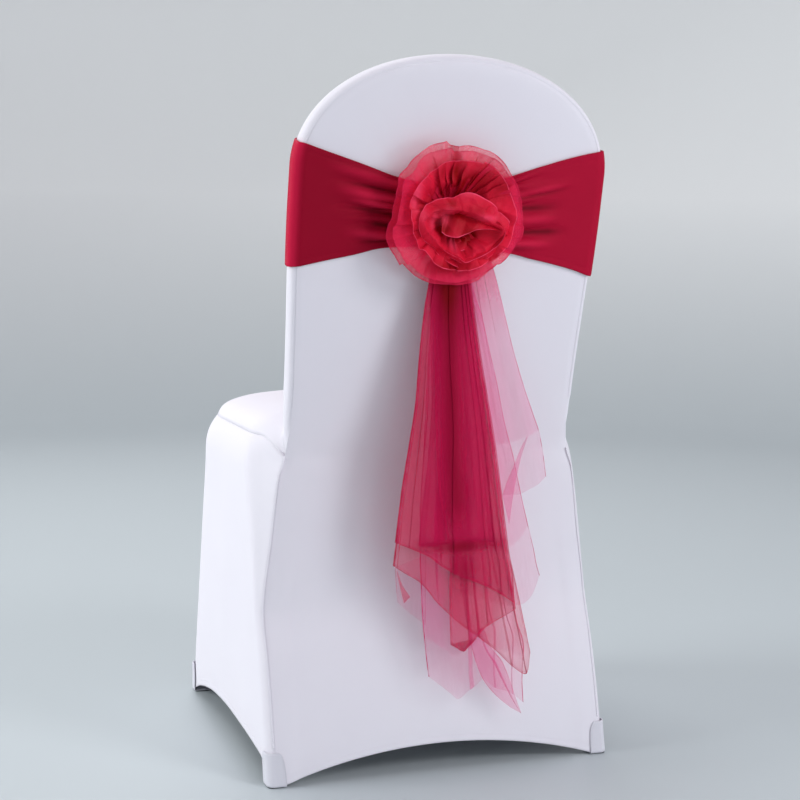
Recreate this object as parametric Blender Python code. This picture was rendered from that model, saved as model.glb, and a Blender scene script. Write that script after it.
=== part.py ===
"""A stretch cover for a round-topped banquet chair, with a crimson back sash, an organza rosette and
hanging organza tails. The cover is hollow: the chair inside it is left out.

Metres, +Z up. The floor is z = 0 and the origin lies under the middle of the cover's box. The chair
faces -Y, so the rosette is on the +Y side, and +X is the left of a sitter.
"""

import math

import bpy
from mathutils import Vector

# The sizes below are measured from the middle of the seat; this moves the origin under the box's middle
ORIGIN_SHIFT_Y = -0.0094

# Driving sizes of the chair's back, which leans to the rear
BACK_LEAN = 0.208            # metres to the rear for each metre of height
WAIST_Z = 0.4136             # where the back meets the skirt
WAIST_Y = 0.1385             # rear face of the back at the waist
BACK_HALF_WIDTH = 0.2065     # at the foot of the crown
WAIST_HALF_WIDTH = 0.1995
CROWN_FOOT_Z = 0.78          # the crown is half an ellipse that starts here
CROWN_RISE = 0.141
BACK_THICKNESS = 0.029
FRONT_PADDING = 0.012        # how far the inside back swells in its middle
REAR_SWELL = 0.004

# Section of the back's edge, from its rear face to its front one, as (outwards, depth), and the share of
# the seat junction's lift that each point takes
EDGE_STEPS = ((-0.0016, -0.0009), (0.0000, -0.0065), (0.0006, -0.0150), (-0.0008, -0.0240), (-0.0065, -0.0290))
EDGE_LIFTS = (0.0, 0.08, 0.22, 0.42, 0.66)

# Driving sizes of the seat and the skirt
SEAT_EDGE_Z = 0.391          # the seat starts to roll over here
SEAT_ROLL_RISE = 0.062
SEAT_ROLL_INSET = 0.045
SEAT_SEAM_Z = 0.436
SEAT_ROLL_HEIGHT = 0.021      # from the seam up to the edge of the seat top
SEAT_CROWN_HEIGHT = 0.021     # and on to the middle
JUNCTION_LIFT = 0.050         # how far above the waist the inside back meets the seat
SIDE_X = 0.2360              # side of the skirt
FRONT_Y = -0.2600            # front of the skirt
REAR_HEM_RISE = 0.0345       # the hems are arched between the feet
REAR_HEM_REACH = 0.2135
FOOT_CLEAR = 0.0030          # hem above the floor at a foot

# Cloth
PANEL_CLOTH = 0.0015
SASH_CLOTH = 0.0014
ORGANZA = 0.0008
POCKET_CLOTH = 0.0012
SEAM_GAP = 0.0005

# Rosette, seen from behind: its middle on the back and its radius
ROSETTE_X = 0.0070
ROSETTE_Z = 0.7295
ROSETTE_RADIUS = 0.0905
RING_CROWDING = 1.25         # above 1 the rings of a ruffle lie closer together near its middle

# Half of the gap at the front corner's seam, along the cloth
CORNER_SEAM_SHIFT = Vector((0.0002, 0.0002, 0.0))

# Rear edge of the side panel, from the floor up the leg and along the slanting seam to the waist
SEAM_TABLE = {
    "columns": ("z", "x", "y"),
    "rows": (
        (0.000, 0.2280, 0.2085), (0.090, 0.2280, 0.1860), (0.160, 0.2285, 0.1630), (0.200, 0.2290, 0.1460),
        (0.215, 0.2285, 0.1415), (0.240, 0.2265, 0.1400), (0.262, 0.2235, 0.1395), (0.300, 0.2180, 0.1392),
        (0.350, 0.2125, 0.1390), (0.390, 0.2070, 0.1388), (0.414, 0.1995, 0.1385),
    ),
}

# Height of the side panel's top seam at each of its columns, from the waist to the front corner
SIDE_TOPS = (WAIST_Z - 0.0012, 0.4215, 0.4290) + (SEAT_SEAM_Z,) * 9

# Outer line of the rear leg: the side panel turns round it
LEG_TABLE = {
    "columns": ("z", "y"),
    "rows": (
        (0.000, 0.1990), (0.090, 0.1765), (0.160, 0.1530), (0.215, 0.1310), (0.250, 0.1210),
        (0.300, 0.1080), (0.350, 0.0930), (0.400, 0.0750), (0.440, 0.0620),
    ),
}

# Middle of the rear panel, pulled straight between the waist and the hem
REAR_MIDDLE_TABLE = {
    "columns": ("z", "y"),
    "rows": (
        (0.000, 0.2060), (0.090, 0.1870), (0.160, 0.1705), (0.215, 0.1585), (0.300, 0.1480),
        (0.350, 0.1440), (0.414, 0.1385),
    ),
}

# The front corners: sharp at the feet, round at the seat
CORNER_TABLE = {
    "columns": ("z", "radius"),
    "rows": (
        (0.000, 0.012), (0.045, 0.014), (0.145, 0.038), (0.274, 0.074), (0.385, 0.105), (0.450, 0.108),
    ),
}

# Side hem, from the rear foot to the front foot
SIDE_HEM_TABLE = {
    "columns": ("y", "z"),
    "rows": (
        (-0.2600, 0.0030), (-0.2500, 0.0040), (-0.2200, 0.0150), (-0.1800, 0.0245), (-0.1200, 0.0315),
        (-0.0400, 0.0335), (0.0800, 0.0325), (0.1600, 0.0305), (0.1880, 0.0260), (0.1980, 0.0120),
        (0.2060, 0.0030),
    ),
}

# Top and bottom edges of the sash across the back; beyond the last row it stays level
SASH_TABLE = {
    "columns": ("x", "bottom", "top"),
    "rows": (
        (-0.2040, 0.6505, 0.8135), (-0.1800, 0.6590, 0.8090), (-0.1500, 0.6665, 0.8020),
        (-0.1200, 0.6730, 0.7935), (-0.0880, 0.6800, 0.7840), (-0.0500, 0.6860, 0.7740),
        (0.0100, 0.6900, 0.7680), (0.0500, 0.6895, 0.7700), (0.0835, 0.6875, 0.7765),
        (0.1330, 0.6765, 0.7920), (0.1715, 0.6680, 0.8030), (0.2030, 0.6605, 0.8120),
    ),
}
SASH_SIDE_BOTTOM = 0.6590
SASH_SIDE_TOP = 0.8130

# Organza tails, from the one nearest to the back outwards. Each falls from a gathered top to a slanting
# edge, given as (x, z) from its left corner to its right one, as seen with +X on the left.
TAIL_TOP_Z = 0.700
TAIL_FAN_REACH = 0.16        # the pleats fan out from this far above the top
TAIL_PLEATS_IN_FAN = 42.0    # radians of pleat for each unit of fan
TAIL_PLEAT_DEPTH = 0.0035
TAILS = {
    "tail_upper_right": {
        "top": (-0.002, -0.044), "top_y": 0.2100, "foot_y": 0.2080,
        "edge": ((-0.059, 0.372), (-0.077, 0.364), (-0.097, 0.366), (-0.118, 0.372), (-0.139, 0.388)),
    },
    "tail_right": {
        "top": (0.004, -0.012), "top_y": 0.2112, "foot_y": 0.2105,
        "edge": ((-0.019, 0.236), (-0.059, 0.224), (-0.106, 0.214), (-0.120, 0.225), (-0.132, 0.256)),
    },
    "tail_core": {
        "top": (0.022, -0.015), "top_y": 0.2124, "foot_y": 0.2135,
        "edge": ((0.053, 0.306), (0.027, 0.302), (-0.004, 0.303), (-0.035, 0.302), (-0.065, 0.306)),
    },
    "tail_low": {
        "top": (0.020, -0.015), "top_y": 0.2136, "foot_y": 0.2165,
        "edge": ((0.029, 0.130), (0.008, 0.112), (-0.012, 0.098), (-0.040, 0.120), (-0.070, 0.094),
                 (-0.102, 0.070), (-0.096, 0.104)),
    },
    "tail_second": {
        "top": (0.023, -0.017), "top_y": 0.2148, "foot_y": 0.2200,
        "edge": ((0.078, 0.279), (0.041, 0.255), (0.018, 0.228), (-0.007, 0.204), (-0.040, 0.178),
                 (-0.067, 0.157), (-0.093, 0.132), (-0.111, 0.122), (-0.118, 0.150)),
    },
    "tail_fold": {
        "top": (0.006, -0.012), "top_y": 0.2160, "foot_y": 0.2235,
        "edge": ((0.002, 0.176), (-0.009, 0.166), (-0.020, 0.158), (-0.048, 0.187), (-0.070, 0.200),
                 (-0.091, 0.216)),
    },
    "tail_front": {
        "top": (0.024, -0.015), "top_y": 0.2172, "foot_y": 0.2270,
        "edge": ((0.080, 0.309), (0.054, 0.299), (0.032, 0.288), (0.015, 0.275), (-0.011, 0.261),
                 (-0.036, 0.250), (-0.062, 0.237), (-0.091, 0.214)),
    },
}


def clear_scene():
    for old in list(bpy.data.objects):
        bpy.data.objects.remove(old)


def cloth_material(name, colour, roughness, alpha=1.0):
    material = bpy.data.materials.new(name)
    material.use_nodes = True
    shader = material.node_tree.nodes["Principled BSDF"]
    shader.inputs["Base Color"].default_value = (*colour, 1.0)
    shader.inputs["Roughness"].default_value = roughness
    shader.inputs["Metallic"].default_value = 0.0
    shader.inputs["Alpha"].default_value = alpha
    return material


def read_table(table, key, name):
    """Value of the named column where the first column reaches key, straight between the rows."""
    rows = table["rows"]
    column = table["columns"].index(name)
    if key <= rows[0][0]:
        return rows[0][column]
    for low, high in zip(rows, rows[1:]):
        if key <= high[0]:
            share = (key - low[0]) / (high[0] - low[0])
            return low[column] + share * (high[column] - low[column])
    return rows[-1][column]


def mix(start, end, share):
    return start + (end - start) * share


def smooth_step(value):
    value = min(max(value, 0.0), 1.0)
    return value * value * (3.0 - 2.0 * value)


def make_sheet(name, grid, cloth, material, closed=False, outward=None, caps=(), open_cells=()):
    """One closed solid from a grid of points: the cloth's thickness is laid on the side that faces outward.

    grid is a list of rows of equal length; closed joins the last column to the first; caps are extra
    faces, given as lists of (row, column); open_cells are the (row, column) cells left without cloth;
    outward is a point that the thick side turns away from.
    """
    width = len(grid[0])
    left_open = set(open_cells)
    cells = []
    for row in range(len(grid) - 1):
        for column in range(width if closed else width - 1):
            if (row, column) not in left_open:
                following = (column + 1) % width
                cells.append([(row, column), (row, following), (row + 1, following), (row + 1, column)])
    cells += caps
    places = sorted({place for cell in cells for place in cell})
    number = {place: index for index, place in enumerate(places)}
    faces = [tuple(number[place] for place in cell) for cell in cells]
    mesh = bpy.data.meshes.new(name)
    mesh.from_pydata([tuple(grid[row][column]) for row, column in places], [], faces)
    mesh.update()
    middle = mesh.polygons[len(faces) // 2]
    away = middle.center - Vector(outward)
    if middle.normal.dot(away) < 0.0:
        mesh.flip_normals()
    mesh.materials.append(material)
    mesh.shade_smooth()
    sheet = bpy.data.objects.new(name, mesh)
    bpy.context.scene.collection.objects.link(sheet)
    solidify = sheet.modifiers.new("Cloth thickness", "SOLIDIFY")
    solidify.thickness = cloth
    solidify.offset = 1.0
    return sheet


def back_point(x, z, depth):
    """A point of the leaning back: z is the height on its rear face and depth runs to the rear from it."""
    lean_length = math.hypot(1.0, BACK_LEAN)
    y = WAIST_Y + BACK_LEAN * (z - WAIST_Z)
    return Vector((x, y + depth / lean_length, z - depth * BACK_LEAN / lean_length))


def back_outline():
    """Rows (x, z, normal x, normal z) of the back's left outline, from the waist to the top of the crown."""
    rows = []
    for z in (WAIST_Z, 0.450, 0.500, 0.560, 0.620, 0.680, 0.735):
        widening = smooth_step((z - 0.48) / 0.26)
        rows.append((mix(WAIST_HALF_WIDTH, BACK_HALF_WIDTH, widening), z, 1.0, 0.0))
    for degrees in (0, 13, 26, 38, 50, 60, 69, 77, 84):
        angle = math.radians(degrees)
        x = BACK_HALF_WIDTH * math.cos(angle)
        z = CROWN_FOOT_Z + CROWN_RISE * math.sin(angle)
        normal = Vector((math.cos(angle) / BACK_HALF_WIDTH, math.sin(angle) / CROWN_RISE)).normalized()
        rows.append((x, z, normal.x, normal.y))
    return rows


def half_width_at(z):
    if z >= CROWN_FOOT_Z:
        reach = min((z - CROWN_FOOT_Z) / CROWN_RISE, 1.0)
        return BACK_HALF_WIDTH * math.sqrt(1.0 - reach * reach)
    return mix(WAIST_HALF_WIDTH, BACK_HALF_WIDTH, smooth_step((z - 0.48) / 0.26))


def rear_swell(x, half_width):
    return REAR_SWELL * max(0.0, 1.0 - (x / half_width) ** 2)


def rear_hem_z(x):
    return FOOT_CLEAR + (REAR_HEM_RISE - FOOT_CLEAR) * max(0.0, 1.0 - (x / REAR_HEM_REACH) ** 2)


def roll_inset(z):
    """How far the seat's edge has rolled inwards at this height."""
    reach = min(max((z - SEAT_EDGE_Z) / SEAT_ROLL_RISE, 0.0), 0.99)
    return SEAT_ROLL_INSET * (1.0 - math.sqrt(1.0 - reach * reach))


def front_corner_point(z, degrees):
    """Skirt surface round the front left corner: 0 degrees faces +X and 90 degrees faces the front."""
    radius = read_table(CORNER_TABLE, z, "radius")
    inset = roll_inset(z)
    angle = math.radians(degrees)
    return Vector((
        SIDE_X - inset - radius * (1.0 - math.cos(angle)),
        FRONT_Y + inset + radius * (1.0 - math.sin(angle)),
        z,
    ))


def rear_panel(material):
    """Outer back in one length from the crown to the arched hem."""
    columns = 13
    spread = [math.sin(math.pi / 2 * (2 * column / (columns - 1) - 1) * 0.86) for column in range(columns)]
    spread = [value / spread[-1] for value in spread]
    edge_inset = 0.0020
    edge_drop = 0.0005
    grid = []
    for x, z, normal_x, normal_z in reversed(back_outline()):
        half = x - edge_inset * normal_x
        height = z - edge_inset * normal_z
        grid.append([
            back_point(share * half, height, rear_swell(share * half, x) - edge_drop) for share in spread
        ])
    skirt_rows = (0.10, 0.21, 0.32, 0.43, 0.50, 0.57, 0.68, 0.79, 0.90, 1.0)
    for down in skirt_rows:
        row = []
        for share in spread:
            bottom = rear_hem_z(share * read_table(SEAM_TABLE, 0.0, "x"))
            z = mix(WAIST_Z, bottom, down)
            half = read_table(SEAM_TABLE, z, "x") - SEAM_GAP
            edge_y = read_table(SEAM_TABLE, z, "y")
            middle_y = read_table(REAR_MIDDLE_TABLE, z, "y")
            swell = REAR_SWELL * (1.0 - down) ** 2 * (1.0 - share * share)
            row.append(Vector((share * half, mix(middle_y, edge_y, abs(share) ** 2.4) + swell, z)))
        grid.append(row)
    return make_sheet("rear_panel", grid, PANEL_CLOTH, material, outward=(0.0, -0.2, 0.45))


def side_section(z, hem_pull):
    """Points of the left side panel at one height, from the slanting rear seam to the front corner."""
    seam = Vector((read_table(SEAM_TABLE, z, "x") + SEAM_GAP, read_table(SEAM_TABLE, z, "y") - 0.0003, z))
    inset = roll_inset(z)
    leg = Vector((SIDE_X - inset, read_table(LEG_TABLE, z, "y"), z))
    turn = Vector((leg.x - 0.0015, leg.y + 0.0035, z))
    facet = seam.lerp(turn, 0.5)
    facet.y -= 0.02 * (turn - seam).length
    front = front_corner_point(z, 0)
    points = [seam, facet, turn, leg + Vector((0.0, -0.0015, 0.0))]
    for share in (0.10, 0.30, 0.52, 0.74, 0.93):
        point = leg.lerp(front, share)
        point.x -= hem_pull * math.sin(math.pi * share)
        points.append(point)
    points += [front_corner_point(z, degrees) for degrees in (14, 30)]
    points.append(front_corner_point(z, 45) + CORNER_SEAM_SHIFT)
    return points


def side_panel(name, side, material):
    """Side skirt with the facet that turns towards the rear; side is 1 on the left and -1 on the right."""
    columns = len(SIDE_TOPS)
    low_section = side_section(0.02, 0.0)
    hems = [FOOT_CLEAR] * 3 + [read_table(SIDE_HEM_TABLE, point.y, "z") for point in low_section[3:]]
    grid = []
    for down in (0.0, 0.07, 0.16, 0.27, 0.38, 0.50, 0.62, 0.74, 0.86, 0.94, 1.0):
        row = []
        for column in range(columns):
            z = mix(SIDE_TOPS[column] - SEAM_GAP, hems[column], down)
            hem_pull = 0.005 * down ** 3
            point = side_section(z, hem_pull)[column]
            row.append(Vector((side * point.x, point.y, z)))
        grid.append(row)
    return make_sheet(name, grid, PANEL_CLOTH, material, outward=(0.0, 0.0, 0.2))


def seat_rise(across, along):
    """Height of the seat top above its side seam: rolled at the sides and the front, crowned in the middle."""
    side = max(0.0, 1.0 - abs(across) ** 7.0)
    front = max(0.0, 1.0 - along ** 9.0)
    crown = 1.0 - 0.45 * across * across - 0.30 * along * along
    return (SEAT_ROLL_HEIGHT + SEAT_CROWN_HEIGHT * crown) * math.sqrt(side * front)


def junction_lift(z):
    """Towards its foot the inside back ends on the seat, higher than the waist."""
    return JUNCTION_LIFT * smooth_step((0.56 - z) / (0.56 - WAIST_Z))


def back_edge_band(material):
    """Strip that runs round the back's edge, up one side, over the crown and down the other."""
    steps = EDGE_STEPS[:-1] + ((EDGE_STEPS[-1][0] + SEAM_GAP, EDGE_STEPS[-1][1] + 0.0001),)
    wrap = len(steps)
    grid = []
    outline = back_outline()
    for x, z, normal_x, normal_z in reversed(outline):
        foot_gap = 3.0 * SEAM_GAP if z == WAIST_Z else 0.0
        left = [
            back_point(x + out * normal_x, z + out * normal_z + share * junction_lift(z) + foot_gap, depth)
            for (out, depth), share in zip(steps, EDGE_LIFTS)
        ]
        right = [Vector((-point.x, point.y, point.z)) for point in reversed(left)]
        grid.append(left + right)
    between_sides = [(row, wrap - 1) for row in range(len(outline) - 1)]
    crown_caps = [
        [(0, column), (0, 2 * wrap - 1 - column), (0, 2 * wrap - 2 - column), (0, column + 1)]
        for column in range(wrap - 1)
    ]
    return make_sheet("back_edge_band", grid, PANEL_CLOTH, material, outward=back_point(0.0, 0.62, -0.015),
                      caps=crown_caps, open_cells=between_sides)


def front_panel(material):
    """Inside back, the seat top and the front skirt in one piece."""
    inner = 7
    wrap = len(EDGE_STEPS)
    columns = 2 * wrap + inner
    grid = []
    for x, z, normal_x, normal_z in reversed(back_outline()):
        lift = junction_lift(z)
        left = [
            back_point(x + out * normal_x, z + out * normal_z + share * lift, depth)
            for (out, depth), share in zip(EDGE_STEPS, EDGE_LIFTS)
        ]
        reach = left[-1].x
        level = z + EDGE_STEPS[-1][0] * normal_z
        middle = []
        for column in range(inner):
            share = 1.0 - 2.0 * (column + 1) / (inner + 1)
            rise = lift * mix(1.0, EDGE_LIFTS[-1], abs(share) ** 3)
            depth = -BACK_THICKNESS - FRONT_PADDING * (1.0 - share * share) * min(1.0, x / 0.12)
            middle.append(back_point(share * reach, level + rise, depth))
        right = [Vector((-point.x, point.y, point.z)) for point in reversed(left)]
        grid.append(left + middle + right)
    band_cells = [
        (row, column)
        for row in range(len(grid) - 1)
        for column in (*range(wrap - 1), *range(columns - wrap, columns - 1))
    ]
    crown_cap = [(0, wrap + inner - column) for column in range(inner + 2)]

    seam_curve = [side_section(top, 0.0)[column] for column, top in enumerate(SIDE_TOPS)]
    seam_curve[-1] = front_corner_point(SEAT_SEAM_Z, 45) - CORNER_SEAM_SHIFT
    seam_curve = seam_curve[1:]
    back_base_y = 0.094
    front_middle_y = front_corner_point(SEAT_SEAM_Z, 90).y
    for index, start in enumerate(seam_curve):
        along = (index + 1) / len(seam_curve)
        row = []
        for column in range(columns):
            across = 1.0 - 2.0 * column / (columns - 1)
            middle_y = mix(back_base_y, front_middle_y, along ** 1.15)
            y = mix(start.y, middle_y, 1.0 - abs(across) ** 2.6)
            travel = (back_base_y - y) / (back_base_y - front_middle_y)
            rise = seat_rise(across, min(max(travel, 0.0), 1.0))
            row.append(Vector((across * start.x, y, start.z + rise)))
        grid.append(row)
    for down in (0.10, 0.24, 0.40, 0.58, 0.76, 0.90, 1.0):
        row = []
        for column in range(columns):
            across = 1.0 - 2.0 * column / (columns - 1)
            low = front_corner_point(0.02, 45).x * abs(across)
            z = mix(SEAT_SEAM_Z, rear_hem_z(low), down)
            edge = front_corner_point(z, 45) - CORNER_SEAM_SHIFT
            turn = front_corner_point(z, 90)
            reach = abs(across) * edge.x
            flat = turn.x
            if reach <= flat:
                y = turn.y
            else:
                radius = read_table(CORNER_TABLE, z, "radius")
                sine = min((reach - flat) / radius, 1.0)
                y = turn.y + radius * (1.0 - math.sqrt(1.0 - sine * sine))
            row.append(Vector((math.copysign(reach, across), y, z)))
        grid.append(row)
    return make_sheet("front_panel", grid, PANEL_CLOTH, material, outward=(0.0, 0.05, 0.3),
                      caps=[crown_cap], open_cells=band_cells)


def foot_pocket(name, side, rear, material):
    """Pocket round the end of a leg: an L-shaped patch with rounded top corners, turned in under the foot."""
    width = 0.0235
    height = 0.043
    clear = PANEL_CLOTH + 0.0006
    heights = (0.016, 0.033, 0.0405, height, height, height, 0.0405, 0.033, 0.016)
    grid = []
    for up in (1.0, 0.66, 0.33, 0.0):
        row = []
        for index, top in enumerate(heights):
            z = mix(0.0029, top, up)
            row.append(pocket_path(z, index, width, clear, rear))
        grid.append(row)
    pivot_y = grid[-1][0].y + (-width if rear else width)
    pivot = Vector((SIDE_X - width, pivot_y, 0.0024))
    for inward in (0.04, 0.5, 0.93):
        grid.append([
            Vector((*point.lerp(pivot, inward).xy, pivot.z)) for point in grid[3]
        ])
    for row in grid:
        for point in row:
            point.x *= side
    middle = Vector((side * (SIDE_X - width), pivot_y, 0.03))
    return make_sheet(name, grid, POCKET_CLOTH, material, outward=middle)


def pocket_path(z, index, width, clear, rear):
    """Points of a pocket at one height, from its edge on the rear or front face round to its side edge."""
    x = SIDE_X + clear
    face_y = read_table(SEAM_TABLE, z, "y") + clear if rear else FRONT_Y - clear
    turn = -1.0 if rear else 1.0
    path = (
        (-width, 0.0), (-width + 0.003, 0.0), (-width + 0.008, 0.0), (-0.0080, 0.0), (-0.0026, 0.0026),
        (0.0, 0.0085), (0.0, width - 0.008), (0.0, width - 0.003), (0.0, width),
    )
    across, forward = path[index]
    return Vector((x + across, face_y + turn * forward, z))


def foot_sole(name, side, rear, material):
    """Thin dark sole under a pocket."""
    size = 0.0215
    thick = 0.0010
    face_y = read_table(SEAM_TABLE, 0.0, "y") if rear else FRONT_Y
    centre = Vector((side * (SIDE_X - size / 2 + 0.001), face_y + (-size / 2 if rear else size / 2), thick / 2))
    bpy.ops.mesh.primitive_cube_add(size=1.0, location=centre)
    sole = bpy.context.object
    sole.name = name
    sole.dimensions = (size, size, thick)
    bpy.ops.object.transform_apply(location=False, rotation=False, scale=True)
    sole.data.name = name
    sole.data.materials.append(material)
    bevel = sole.modifiers.new("Rounded corners", "BEVEL")
    bevel.limit_method = "WEIGHT"
    bevel.affect = "EDGES"
    bevel.width = 0.0045
    bevel.segments = 3
    weights = sole.data.attributes.new("bevel_weight_edge", "FLOAT", "EDGE")
    for edge in sole.data.edges:
        ends = [sole.data.vertices[index].co for index in edge.vertices]
        weights.data[edge.index].value = 1.0 if abs(ends[0].z - ends[1].z) > thick / 2 else 0.0
    return sole


def sash_pleat(x, up):
    """Height of the sash's pleats above the back: deep at the rosette and gone at the edges."""
    distance = abs(x - ROSETTE_X)
    fade = smooth_step((0.185 - distance) / 0.12)
    phase = 0.9 if x > ROSETTE_X else 0.2
    wave = 0.5 + 0.5 * math.sin(2.0 * math.pi * (3.0 * up + phase))
    return 0.0032 * fade * wave


def sash_band(material):
    """Stretch band round the back, gathered behind the rosette."""
    lift = PANEL_CLOTH + 0.0010
    rows = 7
    rear_shares = (1.0, 0.90, 0.77, 0.63, 0.48, 0.30, 0.10, -0.10, -0.26, -0.44, -0.60, -0.75, -0.89, -1.0)
    edge_steps = ((0.0, -0.0065), (0.0006, -0.0150), (-0.0008, -0.0240), (-0.0065, -0.0290))
    front_shares = (-0.80, -0.5, -0.17, 0.17, 0.5, 0.80)
    grid = []
    for row in range(rows):
        up = row / (rows - 1)
        ring = []
        for share in rear_shares:
            x = share * (BACK_HALF_WIDTH - 0.0020)
            z = mix(read_table(SASH_TABLE, x, "bottom"), read_table(SASH_TABLE, x, "top"), up)
            half = half_width_at(z)
            x = share * (half - 0.0020)
            corner = 0.6 * lift if abs(share) == 1.0 else lift
            out = (0.8 * lift if abs(share) == 1.0 else 0.0) * math.copysign(1.0, share)
            ring.append(back_point(x + out, z, rear_swell(x, half) + corner + sash_pleat(x, up)))
        side_z = mix(SASH_SIDE_BOTTOM, SASH_SIDE_TOP, up)
        half = half_width_at(side_z)
        right = [
            back_point(-(half + out + 1.2 * lift), side_z, depth - (lift if depth < -0.028 else 0.0))
            for out, depth in edge_steps
        ]
        front = []
        for share in front_shares:
            depth = -BACK_THICKNESS - FRONT_PADDING * (1.0 - share * share) - 1.4 * lift
            front.append(back_point(share * half, side_z, depth))
        left = [Vector((-point.x, point.y, point.z)) for point in reversed(right)]
        grid.append(ring + right + front + left)
    middle = back_point(0.0, 0.735, -0.015)
    return make_sheet("sash_band", grid, SASH_CLOTH, material, closed=True, outward=middle)


def rosette_point(radius, angle, depth):
    """A point of the rosette: polar round its middle, with the angle from +X towards the top."""
    x = ROSETTE_X + radius * math.cos(angle)
    z = ROSETTE_Z + radius * math.sin(angle)
    return back_point(x, z, depth)


def ruffle(name, layer, material):
    """One gathered round of organza, from its sewn inner edge out to its wavy rim."""
    columns = layer["columns"]
    rings = layer["rings"]
    grid = []
    for ring in range(rings + 1):
        out = ring / rings
        row = []
        for column in range(columns):
            angle = 2.0 * math.pi * column / columns
            rim = layer["rim"] * (1.0 + layer["lobe"] * math.sin(layer["lobes"] * angle + layer["turn"])
                                  + layer["wide"] * math.cos(2.0 * (angle - layer["axis"])))
            share = out ** RING_CROWDING
            radius = mix(layer["hole"], rim, share)
            rise = layer["rise"] * share ** layer["flare"]
            wave = layer["wave"] * out * math.sin(layer["waves"] * angle + layer["turn"])
            row.append(rosette_point(radius, angle, layer["seat"] + rise + wave))
        grid.append(row)
    return make_sheet(name, grid, ORGANZA, material, closed=True, outward=back_point(ROSETTE_X, ROSETTE_Z, -0.30))


RUFFLES = {
    "ruffle_back": {
        "hole": 0.012, "rim": ROSETTE_RADIUS, "seat": 0.0117, "rise": 0.0275, "flare": 0.55, "wave": 0.0022,
        "waves": 9, "lobe": 0.016, "lobes": 5, "turn": 0.4, "wide": 0.01, "axis": 1.57, "columns": 40, "rings": 3,
    },
    "ruffle_front": {
        "hole": 0.012, "rim": 0.0865, "seat": 0.0130, "rise": 0.0360, "flare": 0.60, "wave": 0.0026,
        "waves": 9, "lobe": 0.018, "lobes": 5, "turn": 0.4, "wide": 0.01, "axis": 1.57, "columns": 40, "rings": 3,
    },
    "ruffle_middle": {
        "hole": 0.011, "rim": 0.0660, "seat": 0.0143, "rise": 0.0480, "flare": 0.68, "wave": 0.0036,
        "waves": 8, "lobe": 0.030, "lobes": 4, "turn": 1.9, "wide": 0.03, "axis": 1.2, "columns": 36, "rings": 3,
    },
    "petal_outer": {
        "hole": 0.0106, "rim": 0.0465, "seat": 0.0156, "rise": 0.0560, "flare": 0.78, "wave": 0.0040,
        "waves": 3, "lobe": 0.050, "lobes": 3, "turn": 0.6, "wide": 0.10, "axis": -0.15, "columns": 28, "rings": 3,
    },
    "petal_inner": {
        "hole": 0.0096, "rim": 0.0300, "seat": 0.0169, "rise": 0.0560, "flare": 0.86, "wave": 0.0030,
        "waves": 2, "lobe": 0.040, "lobes": 3, "turn": 2.2, "wide": 0.24, "axis": -0.10, "columns": 24, "rings": 3,
    },
}


def rosette_heart(material):
    """The rolled middle of the rosette: one strip wound a turn and a half."""
    steps = 22
    turns = 1.35
    grid = []
    for height in (0.0, 0.5, 1.0):
        row = []
        for step in range(steps + 1):
            along = step / steps
            angle = 2.0 * math.pi * turns * along + 2.6
            radius = mix(0.0022, 0.0070, along) + height * mix(0.0004, 0.0050, along)
            flat = 1.0 + 0.35 * height * abs(math.cos(angle))
            point_x = radius * flat * math.cos(angle)
            point_z = radius * math.sin(angle)
            x = ROSETTE_X + point_x
            z = ROSETTE_Z + point_z
            row.append(back_point(x, z, mix(0.0140, 0.0600 - 0.006 * along, height)))
        grid.append(row)
    return make_sheet("rosette_heart", grid, ORGANZA, material, outward=back_point(ROSETTE_X, ROSETTE_Z, 0.04))


def tail_pleat(x, z):
    """Pleats that all the tails share, so that the sheets nest: they fan out from the gathered top."""
    fall = TAIL_TOP_Z - z
    fan = x / (fall + TAIL_FAN_REACH)
    return TAIL_PLEAT_DEPTH * smooth_step(fall / 0.25) * math.sin(TAIL_PLEATS_IN_FAN * fan + 0.6)


def tail(name, shape, material):
    """One hanging sheet of organza, gathered at the top, pleated and slanting at its lower edge."""
    rows = 8
    edge = shape["edge"]
    columns = (len(edge) - 1) * max(1, round(10 / (len(edge) - 1)))
    grid = []
    for row in range(rows + 1):
        down = row / rows
        points = []
        for column in range(columns + 1):
            share = column / columns
            place = share * (len(edge) - 1)
            index = min(int(place), len(edge) - 2)
            foot_x = mix(edge[index][0], edge[index + 1][0], place - index)
            foot_z = mix(edge[index][1], edge[index + 1][1], place - index)
            x = mix(mix(shape["top"][0], shape["top"][1], share), foot_x, down ** 0.92)
            z = mix(TAIL_TOP_Z, foot_z, down)
            spread = smooth_step((TAIL_TOP_Z - z) / 0.40)
            y = mix(shape["top_y"], shape["foot_y"], spread) + tail_pleat(x, z)
            points.append(Vector((x, y, z)))
        grid.append(points)
    return make_sheet(name, grid, ORGANZA, material, outward=(0.0, -1.0, 0.4))


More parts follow.
